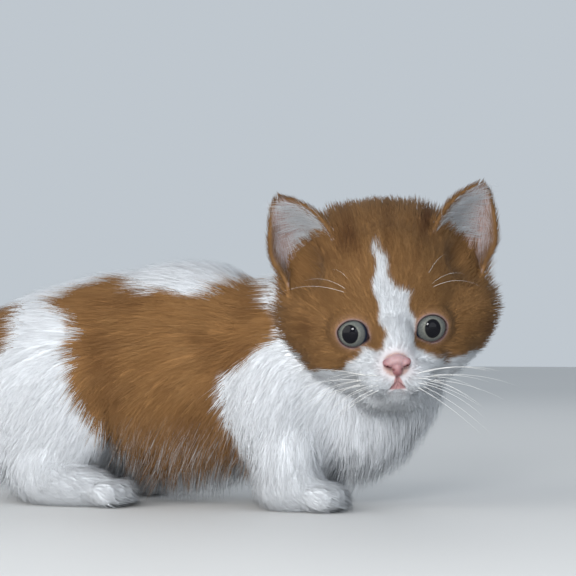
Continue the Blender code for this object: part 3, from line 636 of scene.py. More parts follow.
def head_skin():
    """The head with ears, orbits, lids and mouth, in its own frame, and points along the mouth line."""
    head = remade(eggs("head", head_forms()), HEAD_GRAIN, 2)
    x, y, z = EYE_PLACE
    orbits = twins((x, y - 15 * MM, z), (7.2 * MM, 9.2 * MM, 6.8 * MM))
    hollows = twins((26.5 * MM, -13.5 * MM, 17 * MM), (6.2 * MM, 8 * MM, 11 * MM), (0, 32, 0))
    hollows += twins((27.5 * MM, -15 * MM, 12 * MM), (6 * MM, 8.5 * MM, 8 * MM))
    for form in orbits + hollows:
        head = combine(head, [eggs("cutter", [form])], "DIFFERENCE")
    head = remade(head, HEAD_GRAIN, 24)
    lids = [eggs("lids", [ball]) for ball in twins(EYE_PLACE, [EYE_RADIUS + LID] * 3)]
    head = joined(head, lids + [ear_wall(sign) for sign in SIDES.values()])
    head = remade(head, FACE_GRAIN, 5)
    head, mouth = sculpted_mouth(head)
    for sign in SIDES.values():
        head = combine(head, [eye_window(sign)], "DIFFERENCE")
    for ball in twins(EYE_PLACE, [EYE_RADIUS + 0.08 * MM] * 3):
        head = combine(head, [eggs("cutter", [ball], 64, 40)], "DIFFERENCE")
    margins = [lid_margin(sign) for sign in SIDES.values()]
    return largest(combine(head, margins, "UNION")), mouth


def head_pose():
    turn = Matrix.Rotation(HEAD_YAW, 4, "Z") @ Matrix.Rotation(HEAD_ROLL, 4, "Y")
    return Matrix.LocRotScale(HEAD_CENTRE, None, None) @ turn @ Matrix.Rotation(HEAD_PITCH, 4, "X")


# The coat, zone by zone: how long its hairs are, how far their tips lift off the skin, how wide a tuft is,
# and what part of its length hangs free instead of following the skin. Millimetres. The head's zones stand
# at places in its own frame, and the hair between them blends.
Hair = namedtuple("Hair", "length lift width hang")
BODY_HAIR = {
    "trunk": Hair(11, 3.4, 0.22, 0.25),
    "neck": Hair(10, 3.4, 0.26, 0.25),
    "upper": Hair(11.5, 4.2, 0.22, 0.35),
    "lower": Hair(9.5, 3.8, 0.21, 0.3),
    "paw": Hair(5.5, 2.6, 0.19, 0.4),
    "tail": Hair(10, 3.2, 0.30, 0.35),
}
HEAD_HAIR = {
    (6, -35, -20): Hair(2.6, 0.9, 0.17, 0),
    (0, -34, -9): Hair(2.8, 0.6, 0.17, 0),
    (0, -29, 2): Hair(3.8, 0.9, 0.18, 0),
    (13, -28, -15): Hair(3.2, 1.0, 0.18, 0),
    (21, -22, -7): Hair(3.4, 1.1, 0.19, 0),
    (12, -23, 6): Hair(3.4, 1.0, 0.19, 0),
    (0, -25, 16): Hair(4.6, 1.4, 0.21, 0),
    (0, -4, 33): Hair(7, 3.0, 0.24, 0.25),
    (21, -4, 27): Hair(8, 4.4, 0.24, 0.4),
    (0, 30, 5): Hair(9, 2.8, 0.36, 0.2),
    (29, -10, 8): Hair(7.5, 3.2, 0.26, 0.35),
    (34, -8, -8): Hair(7, 2.3, 0.26, 0.2),
    (24, -13, -24): Hair(8, 2.6, 0.26, 0.25),
    (0, -32, -28): Hair(4.2, 1.6, 0.18, 0.3),
    (0, -14, -30): Hair(9, 3.0, 0.26, 0.5),
    (30, 14, -6): Hair(9, 3.4, 0.34, 0.3),
}
FRINGE_HAIR = Hair(11, 3.4, 0.22, 0.7)
BREAST_HAIR = Hair(11.5, 4.4, 0.22, 0.45)
TEMPLE_HAIR = Hair(8, 3.2, 0.2, 0.6)
EAR_BACK_HAIR = Hair(3.4, 0.9, 0.24, 0.15)
EAR_CUP_HAIR = Hair(4.2, 1.3, 0.15, 0.2)
EAR_RIM_HAIR = Hair(4.4, 1.5, 0.17, 0.5)
EAR_LONG_HAIR = Hair(9, 2.6, 0.16, 0.9)

# How many times over the tufts cover the skin, and how many long ear hairs there are to a square metre.
COVER = 3.1
EAR_LONG_ROOTS = 6.0e6
EAR_LONG_ORANGE = 0.12
# How far chance may change a tuft's length, lift and width, and how orange it is where the colours meet.
HAIR_CHANCE = {"length": (0.65, 1.1), "lift": (0.35, 1.0), "width": (0.8, 1.2)}
MIXTURE = 0.33

# Where one piece of the coat ends and the next begins: millimetres ahead of the origin, and for the face
# ahead of the head's middle.
RUMP_END = -72
LOIN_END = -28
LEGS_PARTING = -30
TAIL_START = -112
FACE_END = -12


def step(low, high, value):
    t = np.clip((value - low) / (high - low), 0, 1)
    return t * t * (3 - 2 * t)


def bell(gap, width):
    return np.exp(-((gap / width) ** 2))


def units(rows):
    return rows / np.maximum(np.linalg.norm(rows, axis=1), 1e-9)[:, None]


def ripple(points, scale, seed):
    """A slow, uneven wave through space, about minus one to one, with bumps of the given size."""
    source = np.random.default_rng(seed)
    total = np.zeros(len(points))
    for _ in range(6):
        direction = source.normal(size=3)
        pitch = scale * source.uniform(0.7, 1.4) * np.linalg.norm(direction) / math.tau
        total += np.sin(points @ direction / pitch + source.uniform(0, math.tau))
    return total / 2.5


def moved(points, place):
    """Rows of points taken through a matrix."""
    place = np.array(place)
    return points @ place[:3, :3].T + place[:3, 3]


def reach(points, forms):
    """How far each point lies outside the nearest of some forms."""
    best = np.full(len(points), 1.0)
    for form in forms:
        share = np.maximum(np.linalg.norm(moved(points, form.inverted()), axis=1), 1e-6)
        far = np.linalg.norm(points - np.array(form.translation), axis=1)
        best = np.minimum(best, far * (1 - 1 / share))
    return best


def inside(outline, x, z):
    """How far inside an outline each place is, negative outside."""
    within = np.zeros(len(x), bool)
    best = np.full(len(x), 1e9)
    for (x1, z1), (x2, z2) in zip(outline, outline[1:] + outline[:1]):
        dx = x2 - x1
        dz = z2 - z1
        t = np.clip(((x - x1) * dx + (z - z1) * dz) / (dx * dx + dz * dz), 0, 1)
        best = np.minimum(best, np.hypot(x - x1 - t * dx, z - z1 - t * dz))
        within ^= ((z1 > z) != (z2 > z)) & (x < x1 + (z - z1) * dx / (dz or 1e-9))
    return np.where(within, best, -best)


def eased(mesh, rows, rounds):
    """Values of the vertices, averaged with their neighbours some times over."""
    a, b = read(mesh.edges, "vertices", 2, np.int32).T
    count = len(mesh.vertices)
    shares = np.bincount(a, minlength=count) + np.bincount(b, minlength=count) + 1
    rows = np.array(rows, float)
    flat = rows.reshape(count, -1)
    for _ in range(rounds):
        for k in range(flat.shape[1]):
            value = flat[:, k]
            total = np.bincount(a, value[b], count) + np.bincount(b, value[a], count) + value
            flat[:, k] = total / shares
    return flat.reshape(rows.shape)


def nearest(points, tree):
    """The gap, the face and the side of a surface for every point."""
    gaps = np.full(len(points), 1.0)
    faces = np.zeros(len(points), int)
    sides = np.zeros(len(points))
    for i, point in enumerate(points):
        place, normal, face, gap = tree.find_nearest(Vector(point))
        gaps[i] = gap
        faces[i] = face
        sides[i] = (Vector(point) - place).dot(normal)
    return gaps, faces, sides


def portrait(points):
    """Places on the face as seen from the photograph's side: across to the cat's left, up, and back."""
    from_centre = (points - np.array(HEAD_CENTRE)) / MM
    c = math.cos(CAMERA_AZIMUTH)
    s = math.sin(CAMERA_AZIMUTH)
    across = from_centre[:, 0] * c + from_centre[:, 1] * s
    back = from_centre[:, 1] * c - from_centre[:, 0] * s
    return across, from_centre[:, 2], back


def body_orange(points, tail, feet):
    """How orange the coat of the body is at each place; the feet are white and the tail is orange."""
    x, y, z = points.T / MM
    wave_x = x + ripple(points, 16 * MM, 3) + 0.8 * ripple(points, 5 * MM, 4)
    wave_z = z + ripple(points, 16 * MM, 5) + 0.8 * ripple(points, 5 * MM, 6)
    right = inside(SADDLE_RIGHT, wave_x, wave_z)
    left = inside(SADDLE_LEFT, wave_x, wave_z)
    patch = step(-1.8, 1.8, np.where(y < 0, right, left))
    # The belly is white, and the lower flanks are paler: partly their own colour, partly painted light on
    # their shade.
    patch *= 1 - step(12, 7, z) * step(13, 7, np.abs(y)) - 0.26 * step(32, 12, z)
    rump = step(-2.5, 2.5, inside(RUMP_PATCH, wave_x, wave_z))
    return np.maximum(np.maximum(patch, rump) * (1 - step(0.3, 0.7, feet)), tail)


def head_orange(points):
    """How orange the coat of the head is: all but the blaze, the muzzle and the cheeks' lower half."""
    across, up, back = portrait(points)
    wave_across = across + 0.9 * ripple(points, 9 * MM, 7)
    wave_up = up + 0.9 * ripple(points, 9 * MM, 8)
    white = step(-0.3, 2.0, inside(FACE_WHITE, wave_across, wave_up))
    white *= np.maximum(step(14, 6, back), step(-12, -18, up))
    return 1 - white


def dark_marks(points, head):
    """Faint darker bars and spots in the orange."""
    across, up, back = portrait(points)
    front = step(14, 2, back)
    spots = bell(np.hypot(across + 12.8, (up - 20) / 1.6), 3.6)
    spots += bell(np.hypot(across - 13.3, (up - 25.9) / 1.6), 3.2)
    lines = bell(np.abs(across + 25.6) + np.abs(up + 9), 4.5)
    lines += bell(np.abs(across - 33.1) + np.abs(up + 7.9), 4)
    angle = np.arctan2(across, up + 17)
    bars = step(0.35, 1.0, np.sin(angle * 22 + 1.2)) * step(6, 14, up) * step(0.9, 0.5, np.abs(angle))
    face = (0.75 * spots + 0.5 * lines + 0.3 * bars) * front
    x = points[:, 0] / MM
    flank = 0.35 * step(0.1, 1.1, ripple(points, 20 * MM, 11))
    flank += 0.15 * step(0, 1, ripple(points, 7 * MM, 12))
    rings = 0.45 * step(0.2, 0.9, np.sin(x / 2.6)) * step(-118, -124, x)
    return np.clip(np.where(head > 0.5, face, flank + rings), 0, 1)


def blended_hair(points, table):
    """Length, lift, width and hang between the head's named zones, for places in the head's frame."""
    places = np.array(list(table))
    values = np.array(list(table.values()))
    at = points / MM
    at[:, 0] = np.abs(at[:, 0])
    gaps = ((at[:, None, :] - places[None]) ** 2).sum(2)
    weights = np.exp(-(gaps - gaps.min(1)[:, None]) / (2 * 5.5**2))
    return weights @ values / weights.sum(1)[:, None]


def body_lie(points):
    """The way the coat of the trunk lies: back along the spine, and more and more down the sides."""
    x, _, z = points.T / MM
    down = np.clip((66 - z) / 60, 0.05, 0.85)
    down = np.where(x > 24, 0.95, down)
    return np.stack([down - 1, np.zeros(len(x)), -down], 1)


def tail_lie(points):
    route = np.array(smooth_route(TAIL_ROUTE, TAIL_STEPS))
    gaps = ((points[:, None, :] - route[None, :-1]) ** 2).sum(2)
    return units(route[1:] - route[:-1])[gaps.argmin(1)]


def head_lie(points):
    """The way the fur of the head lies: away from the nose, round the eyes, and down the back and cheeks."""
    x, y, z = points.T / MM
    way = units(points - np.array(NOSE_PLACE))
    way[:, 2] -= 0.9 * step(-5, 25, y) + 0.3 * step(18, 30, np.abs(x)) * step(6, -6, z)
    way[:, 1] += 0.9 * step(-5, 25, y)
    for sign in SIDES.values():
        from_eye = points - np.array(mirrored(EYE_PLACE, sign))
        near = bell(np.maximum(np.linalg.norm(from_eye, axis=1) - EYE_RADIUS, 0), 3.2 * MM)
        way += units(from_eye) * (0.8 * near)[:, None]
    return units(way)


def ear_lies(faces, sign):
    """The ways that hair lies on the back and in the cup of an ear, for faces of its grid."""
    across = (faces % (EAR_COLUMNS - 1) + 0.5) / (EAR_COLUMNS - 1)
    up = EAR_SUNK + (EAR_TOP - EAR_SUNK) * (faces // (EAR_COLUMNS - 1) + 0.5) / (EAR_ROWS - 1)
    rise = []
    over = []
    for a, b in zip(across, up):
        here = ear_point(a, b, sign)
        rise.append(ear_point(a, b + 0.05, sign) - here)
        over.append(ear_point(min(a + 0.2, 1), b + 0.12, sign) - here)
    return across, up, units(np.array(rise)), units(np.array(over))


def set_field(mesh, name, rows):
    rows = np.asarray(rows, float)
    kind = "FLOAT" if rows.ndim == 1 else "FLOAT_VECTOR"
    layer = mesh.attributes.get(name) or mesh.attributes.new(name, kind, "POINT")
    layer.data.foreach_set("value" if rows.ndim == 1 else "vector", rows.ravel())


def marked_skin(skin, head, mouth):
    """Works out, for every point of the skin, its zone, the way its hair grows, and its colours."""
    mesh = skin.data
    points, normals = coordinates(mesh)
    pose = head_pose()
    graph = bpy.context.evaluated_depsgraph_get()
    near_head = np.full(len(points), 1.0)
    ahead = points[:, 0] > -15 * MM
    near_head[ahead] = nearest(points[ahead], BVHTree.FromObject(head, graph))[0]
    on_head = (near_head < 0.02 * MM).astype(float)
    in_head = moved(points, pose.inverted())

    upper, lower = leg_forms()
    groups = {
        "trunk": trunk_forms(),
        "neck": neck_forms(),
        "upper": upper,
        "lower": lower,
        "paw": all_paw_forms(),
        "tail": tail_forms(),
    }
    weights = {name: np.exp(-reach(points, forms) / (1.1 * MM)) for name, forms in groups.items()}
    total = sum(weights.values())
    weights = {name: weight / total for name, weight in weights.items()}
    hair = sum(weights[name][:, None] * np.array(BODY_HAIR[name]) for name in groups)

    fringe = step(30 * MM, 14 * MM, points[:, 2]) * weights["trunk"]
    fringe += step(26 * MM, 12 * MM, points[:, 2]) * weights["upper"]
    hair += fringe[:, None] * (np.array(FRINGE_HAIR) - hair)
    breast = step(8 * MM, 22 * MM, points[:, 0]) * step(46 * MM, 30 * MM, points[:, 2])
    hair += (breast * weights["trunk"])[:, None] * (np.array(BREAST_HAIR) - hair)

    fore = (points[:, 0] > -30 * MM)[:, None]
    ways = {
        "trunk": body_lie(points),
        "neck": np.array([-0.5, 0, -0.75]),
        "upper": np.where(fore, [-0.3, 0, -1.0], [-0.5, 0, -0.85]),
        "lower": np.where(fore, [-0.05, 0, -1.0], [0.1, 0, -1.0]),
        "paw": np.array([0.9, 0, -0.4]),
        "tail": tail_lie(points),
    }
    lie = sum(weights[name][:, None] * ways[name] for name in groups)
    turn = np.array(pose.to_3x3())
    pick = on_head > 0.5
    lie[pick] = head_lie(in_head[pick]) @ turn.T
    hair[pick] = blended_hair(in_head[pick], HEAD_HAIR)
    temple = bell(np.abs(in_head[:, 0]) - 34 * MM, 6 * MM) * bell(in_head[:, 2] - 1 * MM, 8 * MM)
    hair += (temple * pick)[:, None] * (np.array(TEMPLE_HAIR) - hair)

    ear_back = np.zeros(len(points))
    ear_cup = np.zeros(len(points))
    ear_long = np.zeros(len(points))
    rim = np.zeros(len(points))
    sweep = lie.copy()
    high = np.flatnonzero(pick & (in_head[:, 2] > 2 * MM) & (np.abs(in_head[:, 0]) > 12 * MM))
    for sign in SIDES.values():
        own = high[in_head[high, 0] * sign > 0]
        gaps, faces, sides = nearest(in_head[own], BVHTree.FromPolygons(*ear_grid(sign)))
        across, up, rise, over = ear_lies(faces, sign)
        part = step(1.5 * MM, 0.85 * MM, gaps) * step(0.0, 0.06, up)
        cup = part * step(-0.2 * MM, 0.5 * MM, sides)
        ear_back[own] = part - cup
        ear_cup[own] = cup
        edge = np.maximum.reduce([bell(across, 0.2), bell(1 - across, 0.13), step(0.8, 0.94, up)])
        rim[own] = part * edge
        ear_long[own] = cup * step(0.55, 0.2, across) * step(-0.06, 0.05, up) * step(0.88, 0.7, up)
        lie[own] += (part * 3)[:, None] * (rise @ turn.T)
        sweep[own] = over @ turn.T
    hair += ear_back[:, None] * (np.array(EAR_BACK_HAIR) - hair)
    hair += ear_cup[:, None] * (np.array(EAR_CUP_HAIR) - hair)
    hair += rim[:, None] * (np.array(EAR_RIM_HAIR) - hair)

    gaps = []
    for sign in SIDES.values():
        local = moved(in_head, eye_frame(sign).inverted())
        gap = np.hypot(local[:, 0], local[:, 1]) - lid_opening(np.arctan2(local[:, 1], local[:, 0]))
        gaps.append(np.where(local[:, 2] > 2 * MM, gap, 1.0))
    lid_gap = np.where(pick, np.minimum(*gaps), 1.0)

    nose_middle = np.array(NOSE_PLACE) + np.array([0, 0, 0.9 * MM])
    nose_gap = np.linalg.norm((in_head - nose_middle) / np.array([1.1, 1.6, 0.95]), axis=1)
    mouth_gap = np.full(len(points), 1.0)
    front = np.flatnonzero(pick & (in_head[:, 1] < -24 * MM))
    for point in mouth:
        far = np.linalg.norm(in_head[front] - np.array(point), axis=1)
        mouth_gap[front] = np.minimum(mouth_gap[front], far)
    mouth_gap += 0.8 * np.maximum(np.abs(in_head[:, 0]) - 1.6 * MM, 0)

    lie = eased(mesh, lie, 10)
    hair = eased(mesh, hair, 8)
    outward = (lie * normals).sum(1)
    kept = np.where(outward > 0, np.clip(hair[:, 3] * 1.1, 0, 0.9), 0)
    lie = units(lie - normals * (outward * (1 - kept))[:, None])
    near_lids = 1 - 0.72 * bell(np.maximum(lid_gap, 0), 1.6 * MM)
    hair[:, 0] *= near_lids
    hair[:, 1] *= near_lids

    tail = weights["tail"] * (1 - on_head)
    feet = weights["lower"] + weights["paw"]
    at_tips = points + lie * (0.55 * MM * hair[:, 0])[:, None]
    orange = {}
    dark = {}
    for name, places in (("skin", points), ("coat", at_tips)):
        orange[name] = np.where(pick, head_orange(places), body_orange(places, tail, feet))
        orange[name] *= 1 - 0.62 * ear_cup * (1 - rim)
        dark[name] = dark_marks(places, on_head)
    # The pink of the lips shows as a wedge that widens from the nose down to the mouth line.
    below = NOSE_PLACE.z - 2.5 * MM - in_head[:, 2]
    wedge = step(0.7 * MM, 0.1 * MM, np.abs(in_head[:, 0]) - 0.5 * below) * step(-0.5 * MM, 0.3 * MM, below)
    wedge *= step(4.9 * MM, 4.2 * MM, below) * step(-24 * MM, -26 * MM, in_head[:, 1]) * pick
    bare = np.maximum.reduce([
        wedge,
        bell(np.maximum(lid_gap - 0.2 * MM, 0), 0.3 * MM),
        bell(mouth_gap, 0.7 * MM),
        step(4.4 * MM, 3.7 * MM, nose_gap),
        0.8 * ear_cup * (1 - rim),
    ])
    pink = np.maximum.reduce([
        0.35 * bell(np.maximum(lid_gap, 0), 1.1 * MM),
        0.8 * bell(mouth_gap, 1.4 * MM),
        wedge,
        0.6 * step(7 * MM, 4 * MM, nose_gap),
        0.75 * ear_cup * (1 - rim),
    ])
    sparse = step(0.25 * MM, 0.75 * MM, lid_gap)
    sparse *= (1 - bell(mouth_gap, 0.55 * MM)) * (1 - wedge)
    sparse *= step(4.0 * MM, 5.0 * MM, nose_gap)
    # Painted shade: the colour is darkened where the hair is shorter, and most on the head.
    head_painted_shade = 0.60 + 0.028 * np.clip(hair[:, 0], 0, 9)
    depth = np.where(pick, head_painted_shade, 0.84 + 0.016 * np.clip(hair[:, 0], 0, 10))
    # More painted shade in the ears' cups and on the paws.
    depth *= 1 - 0.15 * ear_cup - 0.17 * weights["paw"] * (1 - on_head)
    roots = COVER / (hair[:, 0] * hair[:, 2] * MM * MM) * sparse
    roots *= step(0.4 * MM, 1.2 * MM, points[:, 2])
    # The hair of the chin and throat stands forward.
    under = bell(in_head[:, 2] + 25.5 * MM, 5 * MM) * step(-6 * MM, -14 * MM, in_head[:, 1]) * pick
    facing = units(eased(mesh, normals, 6))
    facing = units(facing + 0.8 * under[:, None] * (np.array([0, -1, 0.25]) @ turn.T))
    return {
        "points": points,
        "in_head": in_head,
        "head": on_head,
        "weights": weights,
        "ear": ear_back + ear_cup,
        "ear_long": ear_long,
        "sweep": sweep,
        "nor": facing,
        "lie": lie,
        "length": hair[:, 0] * MM,
        "lift": hair[:, 1] * MM,
        "width": hair[:, 2] * MM,
        "hang": hair[:, 3],
        "roots": roots,
        "orange": orange,
        "dark": dark,
        "bare": bare,
        "depth": eased(mesh, depth, 12),
        "pink": pink,
        "lids": bell(np.maximum(lid_gap - 0.1 * MM, 0), 0.42 * MM),
        "lips": np.maximum(bell(mouth_gap, 0.5 * MM), 0.55 * wedge),
    }


def add(tree, kind, values=None, **settings):
    """A new node of a tree, set up, with its sockets given values or joined to other nodes' sockets."""
    made = tree.nodes.new(kind)
    for name, value in settings.items():
        setattr(made, name, value)
    for socket, value in (values or {}).items():
        if isinstance(value, bpy.types.NodeSocket):
            tree.links.new(value, made.inputs[socket])
        else:
            made.inputs[socket].default_value = value
    return made


def value_of(tree, kind, values=None, **settings):
    """The first output of a new node."""
    return add(tree, kind, values, **settings).outputs[0]


def sums(tree, operation, *values):
    return value_of(tree, "ShaderNodeMath", dict(enumerate(values)), operation=operation)


def vectors(tree, operation, *values):
    """A vector sum; SCALE takes a vector and a number."""
    sockets = (0, 3) if operation == "SCALE" else (0, 1)
    return value_of(tree, "ShaderNodeVectorMath", dict(zip(sockets, values)), operation=operation)


def between(tree, share, a, b):
    """A vector part of the way from one to another."""
    return add(tree, "ShaderNodeMix", {0: share, 4: a, 5: b}, data_type="VECTOR").outputs[1]


def stored(tree, name, kind="FLOAT"):
    return value_of(tree, "GeometryNodeInputNamedAttribute", {0: name}, data_type=kind)


def keep(tree, geometry, name, value, kind="FLOAT"):
    values = {0: geometry, 2: name, 3: value}
    return value_of(tree, "GeometryNodeStoreNamedAttribute", values, data_type=kind, domain="POINT")


def chance(tree, low, high, seed, number=None):
    """A random number or vector for each point, or the same for all the points of one number."""
    values = {8: seed}
    if number:
        values[7] = number
    if isinstance(low, tuple):
        values |= {0: low, 1: high}
        return value_of(tree, "FunctionNodeRandomValue", values, data_type="FLOAT_VECTOR")
    values |= {2: low, 3: high}
    return add(tree, "FunctionNodeRandomValue", values, data_type="FLOAT").outputs[1]


def scattered(tree, surface, density, seed):
    """Points at random places of a surface."""
    values = {0: surface, 4: density, 6: seed}
    return value_of(tree, "GeometryNodeDistributePointsOnFaces", values, distribute_method="RANDOM")


def from_skin(tree, skin, value, place):
    """A value of the skin at its point nearest to a place."""
    values = {0: skin, 1: value, 3: place}
    return value_of(tree, "GeometryNodeSampleNearestSurface", values, data_type="FLOAT_VECTOR")


def coat_tree():
    """Grows tufts on a skin.

    Each starts at its root, follows the lie over the skin, lifts off it and ends in a point, and the tufts
    of a lock draw together towards their tips.
    """
    inputs = {"Skin": "Geometry", "Points": "Int", "Lock Share": "Float", "Drawn In": "Float"}
    inputs |= {"Spread": "Float", "Seed": "Int", "Material": "Material"}
    tree, given = group("coat", inputs, {"Coat": "Geometry"}, "GeometryNodeTree")
    skin = given["Skin"]
    place = value_of(tree, "GeometryNodeInputPosition")

    def seed(number):
        return sums(tree, "ADD", given["Seed"], number)

    many = stored(tree, "roots")
    roots = scattered(tree, skin, many, given["Seed"])
    locks = scattered(tree, skin, sums(tree, "MULTIPLY", many, given["Lock Share"]), seed(50))
    number = value_of(tree, "GeometryNodeSampleNearest", {0: locks, 1: place}, domain="POINT")
    values = {0: locks, 1: place, 2: number}
    middle = value_of(tree, "GeometryNodeSampleIndex", values, data_type="FLOAT_VECTOR", domain="POINT")

    stray = chance(tree, (-1, -1, -1), (1, 1, 1), seed(1))
    leaning = chance(tree, (-1, -1, -1), (1, 1, 1), seed(2), number)
    turned = vectors(tree, "ADD", vectors(tree, "SCALE", stray, 0.5), leaning)
    turned = vectors(tree, "SCALE", turned, given["Spread"])
    way = vectors(tree, "NORMALIZE", vectors(tree, "ADD", stored(tree, "lie", "FLOAT_VECTOR"), turned))
    size, rise, wide = [
        sums(tree, "MULTIPLY", stored(tree, name), chance(tree, *limits, seed(3 + k)))
        for k, (name, limits) in enumerate(HAIR_CHANCE.items())
    ]
    tone = sums(tree, "ADD", chance(tree, 0, 0.6, seed(6)), chance(tree, 0, 0.4, seed(7), number))
    mixture = sums(tree, "ADD", stored(tree, "orange"), chance(tree, -MIXTURE, MIXTURE, seed(8)))
    pure = value_of(tree, "ShaderNodeMapRange", {0: mixture, 1: 0.34, 2: 0.66}, data_type="FLOAT")
    for name, value in {"root": place, "lock": middle, "way": vectors(tree, "SCALE", way, size)}.items():
        roots = keep(tree, roots, name, value, "FLOAT_VECTOR")
    for name, value in {"rise": rise, "wide": wide, "tone": tone, "orange": pure}.items():
        roots = keep(tree, roots, name, value)

    line = value_of(tree, "GeometryNodeCurvePrimitiveLine")
    line = value_of(tree, "GeometryNodeResampleCurve", {0: line, 2: given["Points"]}, mode="COUNT")
    hairs = value_of(tree, "GeometryNodeInstanceOnPoints", {0: roots, 2: line})
    hairs = value_of(tree, "GeometryNodeRealizeInstances", {0: hairs})

    along = value_of(tree, "GeometryNodeSplineParameter")
    run = vectors(tree, "SCALE", stored(tree, "way", "FLOAT_VECTOR"), along)
    own = vectors(tree, "ADD", stored(tree, "root", "FLOAT_VECTOR"), run)
    shared = vectors(tree, "ADD", stored(tree, "lock", "FLOAT_VECTOR"), run)
    pull = sums(tree, "MULTIPLY", sums(tree, "POWER", along, 1.4), given["Drawn In"])
    drawn = between(tree, pull, own, shared)
    normal = stored(tree, "nor", "FLOAT_VECTOR")
    rising = {0: sums(tree, "POWER", along, 0.7), 3: -0.25 * MM, 4: stored(tree, "rise")}
    high = value_of(tree, "ShaderNodeMapRange", rising, data_type="FLOAT")
    out = vectors(tree, "SCALE", from_skin(tree, skin, normal, drawn), high)
    close = vectors(tree, "ADD", from_skin(tree, skin, place, drawn), out)
    free = vectors(tree, "ADD", drawn, vectors(tree, "SCALE", normal, high))
    at = between(tree, sums(tree, "MULTIPLY", stored(tree, "hang"), along), close, free)
    at = vectors(tree, "MAXIMUM", at, (-1, -1, 0.25 * MM))
    hairs = value_of(tree, "GeometryNodeSetPosition", {0: hairs, 2: at})
    hairs = keep(tree, hairs, "along", along)
    hairs = value_of(tree, "GeometryNodeSetCurveNormal", {0: hairs, 2: normal}, mode="FREE")

    ring = value_of(tree, "GeometryNodeCurvePrimitiveCircle", {0: 3, 4: 0.5}, mode="RADIUS")
    ring = keep(tree, ring, "side", value_of(tree, "GeometryNodeSplineParameter"))
    ring = value_of(tree, "GeometryNodeTransform", {0: ring, 3: (0.45, 1, 1)})
    taper = sums(tree, "POWER", sums(tree, "SUBTRACT", 1.0, along), 0.6)
    thick = sums(tree, "MULTIPLY", stored(tree, "wide"), taper)
    tufts = value_of(tree, "GeometryNodeCurveToMesh", {0: hairs, 1: ring, 2: thick, 3: True})
    tufts = value_of(tree, "GeometryNodeMergeByDistance", {0: tufts, 2: 1e-6}, mode="CONNECTED")
    tufts = value_of(tree, "GeometryNodeSetShadeSmooth", {0: tufts})
    tufts = value_of(tree, "GeometryNodeRealizeInstances", {0: tufts})
    tufts = value_of(tree, "GeometryNodeSetMaterial", {0: tufts, 2: given["Material"]})
    add(tree, "NodeGroupOutput", {0: tufts})
    return tree


def socket_of(tree, name):
    return next(s.identifier for s in tree.interface.items_tree if s.name == name and s.in_out == "INPUT")


def grow(name, tree, skin, fields, where, material, points=4, locks=0.09, drawn=0.22, spread=0.14, seed=1):
    """One piece of the coat: tufts on the part of the skin where the given share is above nothing."""
    carrier = object_of(skin.data.copy(), name)
    mesh = carrier.data
    for field in ("lie", "length", "lift", "width", "hang", "nor"):
        set_field(mesh, field, fields[field])
    for field in ("orange", "dark"):
        set_field(mesh, field, fields[field]["coat"])
    # The depth field carries the painted shade of the coat's colour.
    for field in ("pink", "depth"):
        set_field(mesh, field, fields[field])
    set_field(mesh, "roots", fields["roots"] * where)
    change = carrier.modifiers.new("coat", "NODES")
    change.node_group = tree
    inputs = {"Points": points, "Lock Share": locks, "Drawn In": drawn, "Spread": spread}
    inputs |= {"Seed": seed, "Material": material}
    for key, value in inputs.items():
        change[socket_of(tree, key)] = value
    made = evaluated(carrier, name)
    for layer in list(made.data.attributes):
        if layer.name in ("lie", "length", "lift", "width", "hang", "roots", "way", "lock", "rise", "wide"):
            made.data.attributes.remove(layer)
    return made


def angle_share(a, b):
    return np.arctan2(a, b) / math.tau + 0.5


def head_unwrap(roots):
    """Equal areas about the way the face looks."""
    x, y, z = units(moved(roots, head_pose().inverted())).T
    spread = 0.48 * np.sqrt((1 + y) / 2) / np.maximum(np.hypot(x, z), 1e-6)
    return 0.5 + x * spread, 0.5 + z * spread


def trunk_unwrap(roots):
    x, y, z = roots.T / MM
    return angle_share(y, 43 - z), (x + 130) / 200


def leg_unwrap(roots):
    """A quarter of the square for each leg, wound round its own upright line."""
    x, y, z = roots.T / MM
    fore = x > -30
    left = y > 0
    middle = np.where(fore, np.where(left, 4, 10), np.where(left, -88, -76))
    u = angle_share(np.abs(y) - 23, x - middle)
    return (u + left) / 2, (np.clip(z / 64, 0, 1) + fore) / 2


def tail_unwrap(roots):
    route = np.array(smooth_route(TAIL_ROUTE, TAIL_STEPS))
    step_number = ((roots[:, None, :] - route[None]) ** 2).sum(2).argmin(1)
    _, y, z = (roots - route[step_number]).T
    return angle_share(y, z), step_number / TAIL_STEPS


def ear_unwrap(roots):
    """Half of the square for each ear: round its own line from base to tip, and up."""
    at = moved(roots, head_pose().inverted())
    left = at[:, 0] > 0
    at[:, 0] = np.abs(at[:, 0])
    base = np.array((EAR_INNER + EAR_OUTER) / 2)
    axis = np.array(EAR_TIP) - base
    up = (at - base) @ axis / (axis @ axis)
    x, y, _ = (at - base - up[:, None] * axis).T
    return (angle_share(x, -y) + left) / 2, np.clip(up * 0.7 + 0.25, 0, 1)


def bake_map(piece, unwrap):
    """Gives every tuft its own small patch, at its root's place on the unwrapped skin."""
    mesh = piece.data
    u, v = unwrap(read(mesh.attributes["root"].data, "vector", 3))
    side = read(mesh.attributes["side"].data, "value")
    along = read(mesh.attributes["along"].data, "value")
    corners = read(mesh.loops, "vertex_index", 1, np.int32)
    places = np.stack([u * 0.99 + 0.003 * side, v * 0.99 + 0.003 * along], 1)
    layer = mesh.uv_layers.new(name="OFBake")
    layer.data.foreach_set("uv", places[corners].ravel())
    for name in ("root", "side"):
        mesh.attributes.remove(mesh.attributes[name])


def group(name, inputs, outputs, kind="ShaderNodeTree"):
    """A group of nodes with named sockets."""
    tree = bpy.data.node_groups.new(name, kind)
    for way, sockets in (("INPUT", inputs), ("OUTPUT", outputs)):
        for label, socket in sockets.items():
            tree.interface.new_socket(label, in_out=way, socket_type="NodeSocket" + socket)
    return tree, add(tree, "NodeGroupInput").outputs


def mixed(tree, share, a, b):
    return add(tree, "ShaderNodeMix", {0: share, 6: a, 7: b}, data_type="RGBA").outputs[2]


